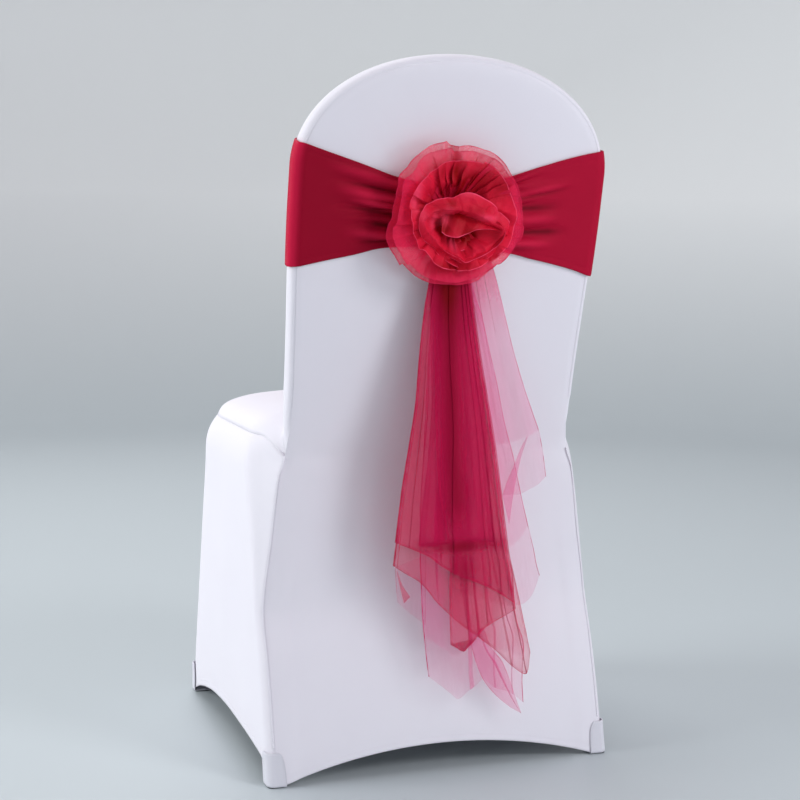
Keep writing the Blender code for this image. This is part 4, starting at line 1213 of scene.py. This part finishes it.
def eyePetalGrid():
    # The big petal round the eye: up out of the eye, over its rim, and out to a free edge
    look = eyePetalLook
    steps = [ring / look["rings"] * 0.972 for ring in range(look["rings"] + 1)] + [0.973, 1.0]
    grid = []
    for along in steps:
        row = []
        for column in range(look["columns"]):
            degrees = 360.0 * column / look["columns"]
            turn = math.radians(degrees)
            rim = eyeRim(degrees)
            edge = max(eyeOuter(degrees), rim + 0.004)
            soft = ripple(degrees, along, 21.0, 2.2)
            rimRise = 0.0025 * math.cos(turn - 0.4) + 0.0015 * math.sin(3.0 * turn + 0.6)
            folds = sum(height * bump(apart(degrees + 14.0 * (along - 0.5), angle), width)
                        for angle, width, height in eyeCreases)
            if along < look["rollShare"]:
                share = along / look["rollShare"]
                radius = mix(0.0025, rim, share ** 0.85)
                depth = mix(look["floorDepth"], look["rimDepth"] + rimRise, share ** 1.15)
                depth += 1.4 * folds * math.sin(math.pi * min(share, 0.9)) + 0.35 * folds * share
            else:
                share = (along - look["rollShare"]) / (1.0 - look["rollShare"])
                radius = mix(rim, edge, share)
                depth = look["rimDepth"] + rimRise + 0.0012 * math.sin(math.pi * min(share * 2.2, 1.0))
                depth -= (look["rimDepth"] - look["edgeDepth"]) * share ** 1.4
                depth += folds * mix(0.35, 1.0, share)
            place = rosettePoint(radius, degrees, depth + 0.0012 * soft, eye)
            row.append(place + backNormal * crushed(place.x, place.z, 31.0, look["crush"]) * smoothStep(along / 0.2))
        grid.append(row)
    # Deepest inside the eye: bunched cloth, and painted shade in the eye's hollow
    return grid, [mix(1.0, 0.1, smoothStep(along / look["rollShare"])) for along in steps]


def crescentGrid(look, columns=130, rows=20):
    # A petal's edge that shows as a thin crescent beside the eye, tucked in below the petal within it
    steps = [row / rows * 0.93 for row in range(rows + 1)] + [0.935, 1.0]
    grid = []
    for along in steps:
        row = []
        for column in range(columns + 1):
            share = column / columns
            degrees = mix(look["from"], look["to"], share)
            swell = math.sin(math.pi * share) ** 0.6
            rim = mix(eyeRim(degrees), eyeOuter(degrees), look["out"]) + look["clear"] * swell
            radius = rim - look["reach"] * swell * (1.0 - along) - 0.002 * (1.0 - swell)
            depth = mix(look["innerDepth"], look["rimDepth"], along ** 0.8)
            depth += 0.0016 * math.sin(9.0 * share * math.pi + look["seed"]) * along
            place = rosettePoint(radius, degrees, depth, eye)
            row.append(place + backNormal * crushed(place.x, place.z, look["seed"], 0.0018))
        grid.append(row)
    return grid


def petalPatch(look, columns=110, rows=56):
    # A petal between a sunken upper line and a free lower one
    topPath = smoothPath([(x, 0.0, z) for x, z in look["top"]])
    lowPath = smoothPath([(x, 0.0, z) for x, z in look["low"]])
    steps = [row / rows * 0.955 for row in range(rows + 1)] + [0.957, 1.0]
    grid = []
    for along in steps:
        row = []
        for column in range(columns + 1):
            share = column / columns
            startX, _, startZ = topPath(share)
            endX, _, endZ = lowPath(share)
            x = mix(startX, endX, along)
            z = mix(startZ, endZ, along)
            belly = math.sin(math.pi * share) ** 0.7
            depth = mix(look["topDepth"], look["lowDepth"], along ** 0.8)
            depth += look["bulge"] * belly * math.sin(math.pi * along * 0.9)
            for place, width, height in look["creases"]:
                fade = math.sin(math.pi * (0.15 + 0.8 * along))
                depth += height * bump(share + 0.12 * (along - 0.5) - place, width) * fade
            depth += crushed(x, z, look["seed"], look["crush"])
            row.append(backPoint(x, z, depth))
        grid.append(row)
    return grid


def makePetal(name, grid, gatherAndShadeRows, closed=False):
    masks = clothMasks(grid, closed, gatherAndShadeRows, shadeAndPaleSpots=petalShadeSpots, lights=petalHighlightSpots)
    return makeSheet(name, grid, petalOrganza, closed=closed, away=behindBack, attributes=masks)


eyePetal = makePetal("eyePetal", *eyePetalGrid(), closed=True)
settle(eyePetal, "red_organza", "petal_outer")

crescents = {
    "crescentInner": {"from": 168.0, "to": 318.0, "out": 0.45, "clear": 0.0004, "reach": 0.012, "innerDepth": 0.033,
                      "rimDepth": 0.0545, "seed": 41.0, "flat": (0.12, 0.022), "area": 0.0021},
    "crescentOuter": {"from": 186.0, "to": 332.0, "out": 1.0, "clear": 0.0075, "reach": 0.014, "innerDepth": 0.033,
                      "rimDepth": 0.047, "seed": 47.0, "flat": (0.15, 0.02), "area": 0.0022},
}
for name, look in crescents.items():
    grid = crescentGrid(look)
    crescent = makePetal(name, grid, [0.4] * len(grid))
    settle(crescent, "red_organza")

innerPetals = {
    "innerPetal": {
        "node": "petal_inner", "seed": 52.0, "crush": 0.003, "topDepth": 0.036, "lowDepth": 0.052, "bulge": 0.0045,
        "flat": (0.085, 0.03),
        "top": ((0.03, 0.7405), (0.0134, 0.7395), (-0.0064, 0.7369), (-0.0267, 0.7317), (-0.0428, 0.7242),
                (-0.0551, 0.7173)),
        "low": ((0.0299, 0.7155), (0.0236, 0.7114), (0.0114, 0.7098), (-0.0032, 0.7146), (-0.0163, 0.7196),
                (-0.0314, 0.7205), (-0.0491, 0.7191)),
        "creases": ((0.1, 0.04, -0.003), (0.22, 0.06, 0.0026), (0.38, 0.05, -0.0018), (0.55, 0.07, 0.002),
                    (0.74, 0.05, -0.0016)),
    },
    "heartPetal": {
        "node": "rosette_heart", "seed": 58.0, "crush": 0.002, "topDepth": 0.025, "lowDepth": 0.04,
        "bulge": 0.002, "flat": (0.064, 0.03),
        "top": ((0.033, 0.718), (0.02, 0.712), (0.005, 0.711), (-0.015, 0.716), (-0.033, 0.717)),
        "low": ((0.032, 0.699), (0.02, 0.693), (0.006, 0.69), (-0.01, 0.693), (-0.028, 0.7)),
        "creases": ((0.36, 0.05, -0.0034), (0.62, 0.09, 0.0024)),
    },
}
for name, look in innerPetals.items():
    grid = petalPatch(look)
    # Deepest along the sunken upper line: gathered cloth, and painted shade where it sinks in
    petal = makePetal(name, grid, [mix(1.0, 0.25, row / len(grid)) for row in range(len(grid))])
    settle(petal, "red_organza", look["node"])
print("petals made")


# Organza: the tails
tailPlane = {"y": 0.21, "eyeX": 0.7186, "eyeY": 2.0515, "eyeZ": 0.6925}  # outlines were read off this plane
tailFolds = {"fanReach": 0.16, "pleats": 42.0, "pleatDepth": 0.0034, "ridgeDepth": 0.005, "ridgeWidth": 0.016}
ridgeX = smoothCurve(((0.1, -0.034), (0.281, -0.026), (0.36, -0.023), (0.465, -0.019), (0.556, -0.014),
                      (0.633, -0.013), (0.7, 0.0)))


def tailWave(x, z):
    # Folds that all the tails share, so that they nest: a fan of pleats and one long ridge
    fall = 0.7 - z
    fan = x / (fall + tailFolds["fanReach"])
    fade = smoothStep(fall / 0.25)
    wave = math.sin(tailFolds["pleats"] * fan + 0.6) + 0.35 * math.sin(2.3 * tailFolds["pleats"] * fan + 1.9)
    ridge = bump(x - ridgeX(z), tailFolds["ridgeWidth"])
    return tailFolds["pleatDepth"] * fade * wave * 0.8 + tailFolds["ridgeDepth"] * fade * ridge


def turnedOver(across, down, folds):
    # Narrow pleats that lie folded over themselves: (place, width, overlap, end of the pleat down the tail)
    shift = 0.0
    lift = 0.0
    for place, width, overlap, end in folds:
        lasting = 1.0 - smoothStep((down - end) / 0.18)
        t = (across - place) / width
        shift -= overlap * width * lasting * t * math.exp(-t * t)
        lift += 0.0007 * lasting * math.tanh(1.6 * t) * math.exp(-0.3 * t * t)
    inside = smoothStep(across / 0.05) * smoothStep((1.0 - across) / 0.05)
    return across + shift * inside, lift * inside


def tailGrid(look, columns=110, rows=150):
    left = smoothPath([(x, 0.0, z) for x, z in look["left"]])
    right = smoothPath([(x, 0.0, z) for x, z in look["right"]])
    foot = smoothPath([(x, 0.0, z) for x, z in look["foot"]])
    edge = [0.0, 0.011, 0.012, 0.022, 0.023, 0.03, 0.031]
    acrossSteps = edge + [mix(0.034, 0.966, c / columns) for c in range(columns + 1)] + [1.0 - v for v in edge[::-1]]
    end = [0.0, 0.0022, 0.0023, 0.0048, 0.0049, 0.0066, 0.0067]
    downSteps = [row / rows * 0.99 for row in range(rows + 1)] + [1.0 - v for v in end[::-1]]
    leftFoot = left(1.0)
    rightFoot = right(1.0)
    grid = []
    for down in downSteps:
        row = []
        leftX, _, leftZ = left(down)
        rightX, _, rightZ = right(down)
        for across in acrossSteps:
            share, lift = turnedOver(across, down, look["folds"])
            footX, _, footZ = foot(share)
            pull = down ** look.get("pull", 2.6)
            x = mix(leftX, rightX, share) + pull * (footX - mix(leftFoot[0], rightFoot[0], share))
            z = mix(leftZ, rightZ, share) + pull * (footZ - mix(leftFoot[2], rightFoot[2], share))
            spread = smoothStep((0.7 - z) / 0.4)
            y = mix(look["topY"], look["footY"], spread)
            nearer = y - tailPlane["y"]
            x += nearer * (tailPlane["eyeX"] - x) / (tailPlane["eyeY"] - y)
            z += nearer * (tailPlane["eyeZ"] - z) / (tailPlane["eyeY"] - y)
            y += tailWave(x, z) + lift
            y += 0.0011 * spread * crease(x, 0.35 * z, look["seed"], 34.0)
            fine = crease(0.8 * x + 0.5 * z, z - 0.4 * x, look["seed"] + 3.0, 24.0)
            y += 0.0012 * smoothStep((down - 0.55) / 0.3) * fine
            row.append(Vector((x, y, z)))
        grid.append(row)
    gatherAndShadeRows = []
    for down in downSteps:
        bunched = 0.7 * (1.0 - smoothStep(down * look["reach"] / 0.15)) if look.get("knot", True) else 0.0
        pale = -0.22 * smoothStep((down - look["paleFrom"]) / 0.012) if "paleFrom" in look else 0.0
        gatherAndShadeRows.append(look["gatherAndShade"] + (1.0 - look["gatherAndShade"]) * bunched + pale)
    return grid, gatherAndShadeRows


# Darker where several tails lie over one another, with painted shade down the core below the rosette, and paler where
# one lies alone, as in the rosette's shade spots
tailShadeAndPaleSpots = (
    (.008, .69, .02, .03, .9), (.008, .63, .018, .05, .6), (.005, .56, .016, .05, .5), (.003, .49, .016, .05, .5),
    (.0, .42, .017, .05, .5), (-.005, .36, .018, .04, .5), (-.01, .303, .06, .008, .6), (-.014, .27, .022, .03, .45),
    (-.025, .168, .016, .01, .2), (-.079, .195, .014, .035, -.5), (-.095, .15, .02, .025, -.5),
    (.064, .29, .012, .02, -.2), (.045, .48, .012, .1, .2),
)


# Each tail: its side edges and foot as seen from the photo's place, and its pleats
tails = {
    "tailUpperRight": {
        "node": "tail_upper_right", "cloth": "sheer", "topY": 0.2096, "footY": 0.208, "gatherAndShade": 0.0, "seed": 1.0,
        "paleFrom": 0.8,
        "reach": 0.33, "flat": (0.085, 0.34), "area": 0.0235,
        "left": ((-.002, .7), (-.01, .64), (-.026, .54), (-.044, .45), (-.06, .372)),
        "right": ((-.044, .7), (-.06, .652), (-.07, .617), (-.087, .555), (-.102, .51), (-.116, .474),
                  (-.128, .441), (-.134, .41), (-.138, .387)),
        "foot": ((-.06, .372), (-.078, .364), (-.1, .364), (-.118, .372), (-.13, .381), (-.138, .387)),
        "folds": ((0.46, 0.03, 1.9, 0.45), (0.7, 0.022, 1.5, 0.3)),
    },
    "tailRight": {
        "node": "tail_right", "cloth": "sheer", "topY": 0.2108, "footY": 0.2105, "gatherAndShade": 0.0, "seed": 2.0,
        "paleFrom": 0.84,
        "reach": 0.48, "flat": (0.1, 0.49), "area": 0.035,
        "left": ((.004, .7), (.0, .64), (-.012, .54), (-.016, .4), (-.018, .236)),
        "right": ((-.018, .7), (-.029, .636), (-.043, .598), (-.055, .553), (-.067, .508), (-.078, .459),
                  (-.09, .419), (-.099, .383), (-.112, .332), (-.122, .295), (-.128, .269), (-.133, .254)),
        "foot": ((-.018, .236), (-.055, .226), (-.09, .216), (-.107, .216), (-.12, .224), (-.129, .242),
                 (-.133, .254)),
        "folds": ((0.3, 0.04, 2.2, 0.9), (0.62, 0.025, 2.0, 0.75), (0.82, 0.02, 1.8, 0.55)),
    },
    "tailCore": {
        "node": "tail_core", "cloth": "middle", "topY": 0.212, "footY": 0.2135, "gatherAndShade": 0.25, "seed": 3.0,
        "reach": 0.4, "flat": (0.12, 0.4), "area": 0.04,
        "left": ((.026, .7), (.029, .64), (.026, .54), (.025, .488), (.029, .42), (.035, .36), (.04, .303)),
        "right": ((-.017, .7), (-.024, .62), (-.036, .54), (-.049, .45), (-.058, .37), (-.065, .303)),
        "foot": ((.04, .303), (.02, .301), (-.01, .304), (-.04, .302), (-.065, .303)),
        "folds": ((0.26, 0.155, 2.6, 1.4), (0.66, 0.04, 2.0, 1.4), (0.84, 0.03, 2.0, 1.4)),
    },
    "tailLow": {
        "node": "tail_low", "cloth": "sheer", "topY": 0.2132, "footY": 0.2165, "gatherAndShade": 0.0, "seed": 4.0,
        "paleFrom": 0.9,
        "reach": 0.6, "flat": (0.11, 0.62), "area": 0.056,
        "left": ((.02, .7), (.026, .63), (.03, .54), (.034, .43), (.038, .34), (.038, .286), (.036, .25),
                 (.034, .204), (.03, .168), (.025, .13)),
        "right": ((-.016, .7), (-.03, .6), (-.044, .5), (-.058, .4), (-.072, .32), (-.088, .25),
                  (-.099, .196), (-.111, .159), (-.109, .113), (-.111, .083)),
        "foot": ((.025, .13), (.006, .1145), (-.008, .103), (-.017, .0957), (-.019, .0957), (-.03, .104),
                 (-.0454, .1147), (-.052, .1195), (-.068, .107), (-.09, .099), (-.111, .083)),
        "folds": ((0.18, 0.035, 2.4, 0.72), (0.47, 0.05, 2.4, 1.4), (0.72, 0.03, 2.2, 1.4), (0.88, 0.022, 2.2, 1.4)),
    },
    "tailSecond": {
        "node": "tail_second", "cloth": "middle", "topY": 0.2144, "footY": 0.22, "gatherAndShade": 0.0, "seed": 5.0,
        "reach": 0.5, "flat": (0.15, 0.55), "area": 0.064,
        "left": ((.023, .7), (.031, .639), (.036, .61), (.042, .554), (.047, .488), (.055, .434), (.064, .377),
                 (.072, .309), (.075, .279)),
        "right": ((-.018, .7), (-.033, .598), (-.047, .518), (-.063, .435), (-.075, .359), (-.087, .284),
                  (-.093, .262), (-.107, .207), (-.115, .175), (-.121, .15)),
        "foot": ((.075, .279), (.057, .267), (.038, .255), (.015, .228), (-.005, .208), (-.024, .192), (-.043, .178),
                 (-.07, .157), (-.096, .132), (-.114, .121), (-.119, .13), (-.121, .15)),
        "folds": ((0.15, 0.02, 2.2, 0.62), (0.33, 0.045, 2.4, 0.8), (0.58, 0.03, 2.2, 0.95), (0.8, 0.022, 2.4, 1.4),
                  (0.9, 0.016, 2.2, 1.4)),
    },
    "tailFold": {
        "node": "tail_fold", "cloth": "middle", "topY": 0.2156, "footY": 0.2235, "gatherAndShade": 0.0, "seed": 6.0,
        "reach": 0.52, "flat": (0.1, 0.53), "area": 0.038,
        "left": ((.022, .7), (.023, .64), (.021, .54), (.019, .45), (.014, .38), (.004, .325), (-.002, .29),
                 (-.003, .214), (-.005, .17)),
        "right": ((-.014, .7), (-.024, .64), (-.038, .555), (-.053, .47), (-.068, .38), (-.08, .3),
                  (-.097, .212)),
        "foot": ((-.005, .17), (-.015, .164), (-.0235, .159), (-.0255, .159), (-.032, .1655), (-.04, .174),
                 (-.053, .187), (-.075, .199), (-.097, .212)),
        "folds": ((0.3, 0.05, 2.4, 0.9), (0.62, 0.035, 2.2, 1.4)),
    },
    "tailFront": {
        "node": "tail_front", "cloth": "middle", "topY": 0.2168, "footY": 0.227, "gatherAndShade": 0.0, "seed": 7.0,
        "reach": 0.44, "flat": (0.14, 0.44), "area": 0.052,
        "left": ((.024, .7), (.032, .639), (.037, .61), (.043, .554), (.048, .488), (.056, .434), (.065, .377),
                 (.073, .309)),
        "right": ((-.016, .7), (-.031, .598), (-.045, .518), (-.061, .435), (-.073, .359), (-.085, .284),
                  (-.091, .262), (-.096, .219)),
        "foot": ((.073, .309), (.05, .299), (.026, .288), (.009, .275), (-.017, .26), (-.042, .25), (-.068, .237),
                 (-.096, .219)),
        "folds": ((0.12, 0.016, 2.0, 1.4), (0.5, 0.045, 2.6, 1.4), (0.79, 0.022, 2.2, 1.4), (0.88, 0.018, 2.4, 1.4),
                  (0.95, 0.012, 2.2, 1.4)),
    },
    "tailPoint": {
        "cloth": "sheer", "topY": 0.2185, "footY": 0.2185, "gatherAndShade": 0.05, "seed": 11.0, "reach": 0.1, "knot": False,
        "flat": (0.035, 0.14), "area": 0.0028,
        "left": ((-.03, .185), (-.0396, .1496), (-.0511, .1221), (-.0684, .0994), (-.0915, .0789), (-.1059, .0697)),
        "right": ((-.052, .19), (-.0641, .161), (-.0799, .1411), (-.0915, .1135), (-.0987, .0916), (-.1073, .0695)),
        "foot": ((-.1059, .0697), (-.1066, .0692), (-.1073, .0695)),
        "folds": ((0.72, 0.1, 2.4, 1.4),),
    },
    "tailTip": {
        "cloth": "middle", "topY": 0.225, "footY": 0.225, "gatherAndShade": 0.2, "seed": 12.0, "reach": 0.1, "knot": False,
        "flat": (0.04, 0.0125), "area": 0.00026,
        "left": ((-.006, .1705), (-.015, .1645), (-.024, .1585)),
        "right": ((-.0425, .1752), (-.034, .167), (-.025, .1585)),
        "foot": ((-.024, .1585), (-.0245, .1582), (-.025, .1585)),
        "folds": (),
    },
    "tailSpike": {
        "cloth": "sheer", "topY": 0.215, "footY": 0.215, "gatherAndShade": 0.1, "seed": 8.0, "reach": 0.1, "knot": False,
        "flat": (0.03, 0.085), "area": 0.0011,
        "left": ((-.1085, .4415), (-.092, .4025), (-.075, .364)),
        "right": ((-.1095, .4405), (-.096, .385), (-.086, .325)),
        "foot": ((-.075, .364), (-.0805, .3445), (-.086, .325)),
        "folds": (),
    },
    "tailWisp": {
        "cloth": "sheer", "topY": 0.215, "footY": 0.215, "gatherAndShade": -0.1, "seed": 9.0, "reach": 0.1, "knot": False,
        "flat": (0.045, 0.085), "area": 0.0029, "paleFrom": 0.0,
        "left": ((.072, .276), (.0695, .25), (.067, .23)),
        "right": ((.03, .29), (.03, .245), (.03, .198)),
        "foot": ((.067, .23), (.0575, .221), (.047, .212), (.037, .204), (.03, .198)),
        "folds": (),
    },
    "tailCorner": {
        "cloth": "middle", "topY": 0.2185, "footY": 0.2185, "gatherAndShade": 0.1, "seed": 10.0, "reach": 0.1, "knot": False,
        "flat": (0.012, 0.045), "area": 0.00022,
        "left": ((.069, .272), (.0605, .252), (.05, .236)),
        "right": ((.0695, .2715), (.064, .25), (.058, .228)),
        "foot": ((.05, .236), (.054, .232), (.058, .228)),
        "folds": (),
    },
}
tailCloths = {"middle": middleOrganza, "sheer": sheerOrganza}
for name, look in tails.items():
    grid, gatherAndShadeRows = tailGrid(look)
    hems = {} if "paleFrom" in look else {"hemRows": (4, 5), "hemColumns": (4, 5)}
    masks = clothMasks(grid, False, gatherAndShadeRows, rimRows=0 if "paleFrom" in look else 2, rimColumns=2, rimShare=1.3,
                       shadeAndPaleSpots=tailShadeAndPaleSpots if look["cloth"] == "middle" else (), **hems)
    tail = makeSheet(name, grid, tailCloths[look["cloth"]], away=(0.0, -1.0, 0.4), attributes=masks)
    settle(tail, "red_organza", *([look["node"]] if "node" in look else []))
print("tails made")


# Camera, light and the plain floor
cameraLook = {"place": (0.71858, 2.04209, 0.69254), "azimuth": 19.457, "tilt": 5.837, "roll": 0.6916, "lens": 69.46}


def makeCamera():
    look = cameraLook
    azimuth = math.radians(look["azimuth"])
    tilt = math.radians(look["tilt"])
    roll = math.radians(look["roll"])
    forward = -Vector((math.sin(azimuth) * math.cos(tilt), math.cos(azimuth) * math.cos(tilt), math.sin(tilt)))
    right = forward.cross(Vector((0.0, 0.0, 1.0))).normalized()
    up = right.cross(forward)
    turnedRight = right * math.cos(roll) + up * math.sin(roll)
    turnedUp = up * math.cos(roll) - right * math.sin(roll)
    data = bpy.data.cameras.new("photoView")
    data.lens = look["lens"]
    data.sensor_width = 36.0
    camera = addObject("photoView", data)
    basis = Matrix((turnedRight, turnedUp, -forward)).transposed().to_4x4()
    camera.matrix_world = Matrix.Translation(Vector(look["place"])) @ basis
    bpy.context.scene.camera = camera


lights = {
    "keyRight": {"place": (-1.9, 2.6, 2.3), "aim": (0.0, 0.1, 0.45), "size": 1.1, "power": 38.0,
                 "colour": (1.0, 0.975, 1.0)},
    "sideLeft": {"place": (4.0, -0.65, 1.95), "aim": (0.1, 0.0, 0.35), "size": 2.3, "power": 60.0, "spread": 130.0,
                 "colour": (0.97, 1.0, 1.0)},
    "lowRight": {"place": (-1.5, 2.2, 0.35), "aim": (-0.1, 0.15, 0.15), "size": 0.9, "power": 11.0,
                 "colour": (0.86, 0.94, 1.0)},
    "topFront": {"place": (0.3, -2.2, 3.0), "aim": (0.0, 0.0, 0.4), "size": 2.4, "power": 50.0,
                 "colour": (1.0, 1.0, 1.0)},
}


def makeLight(name, look):
    data = bpy.data.lights.new(name, "AREA")
    data.size = look["size"]
    data.energy = look["power"]
    data.color = look["colour"]
    data.spread = math.radians(look.get("spread", 180.0))
    light = addObject(name, data)
    light.location = look["place"]
    light.rotation_euler = (Vector(look["aim"]) - Vector(look["place"])).to_track_quat("-Z", "Y").to_euler()
    light.visible_camera = False


studioLook = {"floorRadius": 3.4, "coveRadius": 1.6, "wallHeight": 3.0, "floorColour": (0.5, 0.55, 0.57),
              "wallColour": (0.97, 0.98, 0.97), "wallToneHeight": 0.9, "roughness": 0.42,
              "skyColour": (0.89, 0.88, 0.96), "skyStrength": 0.47, "turns": 96, "coveSteps": 12}


def makeStudio():
    look = studioLook
    profile = [(0.001, 0.0), (0.8, 0.0), (1.6, 0.0), (2.5, 0.0), (look["floorRadius"], 0.0)]
    for step in range(look["coveSteps"]):
        angle = math.pi / 2 * (step + 1) / look["coveSteps"]
        profile.append((look["floorRadius"] + look["coveRadius"] * math.sin(angle),
                        look["coveRadius"] * (1.0 - math.cos(angle))))
    profile.append((look["floorRadius"] + look["coveRadius"], look["wallHeight"]))
    turns = look["turns"]
    vertices = [(radius * math.cos(math.tau * c / turns), radius * math.sin(math.tau * c / turns), z)
                for radius, z in profile for c in range(turns)]
    faces = []
    for row in range(len(profile) - 1):
        for c in range(turns):
            after = (c + 1) % turns
            faces.append((row * turns + c, row * turns + after, (row + 1) * turns + after, (row + 1) * turns + c))
    faces.append(tuple(range(turns)))
    mesh = bpy.data.meshes.new("studioFloor")
    mesh.from_pydata(vertices, [], faces)
    mesh.shade_smooth()
    material = bpy.data.materials.new("paleFloor")
    material.use_nodes = True
    tree = material.node_tree
    shader = tree.nodes["Principled BSDF"]
    here = addNode(tree, "ShaderNodeTexCoord").outputs["Object"]
    height = addNode(tree, "ShaderNodeSeparateXYZ", {0: here}).outputs[2]
    climb = addNode(tree, "ShaderNodeMapRange", {"Value": height, "From Max": look["wallToneHeight"]})
    tone = blend(tree, climb.outputs[0], look["floorColour"], look["wallColour"])
    tree.links.new(tone, shader.inputs["Base Color"])
    shader.inputs["Roughness"].default_value = look["roughness"]
    mesh.materials.append(material)
    addObject("studioFloor", mesh)
    world = bpy.data.worlds.new("softStudio")
    world.use_nodes = True
    sky = world.node_tree.nodes["Background"]
    sky.inputs["Color"].default_value = (*look["skyColour"], 1.0)
    sky.inputs["Strength"].default_value = look["skyStrength"]
    bpy.context.scene.world = world
    bpy.context.scene.view_settings.view_transform = "Standard"
    bpy.context.scene.cycles.transparent_max_bounces = 32


makeCamera()
for lightName, lightLook in lights.items():
    makeLight(lightName, lightLook)
makeStudio()
print("camera, light and floor made")
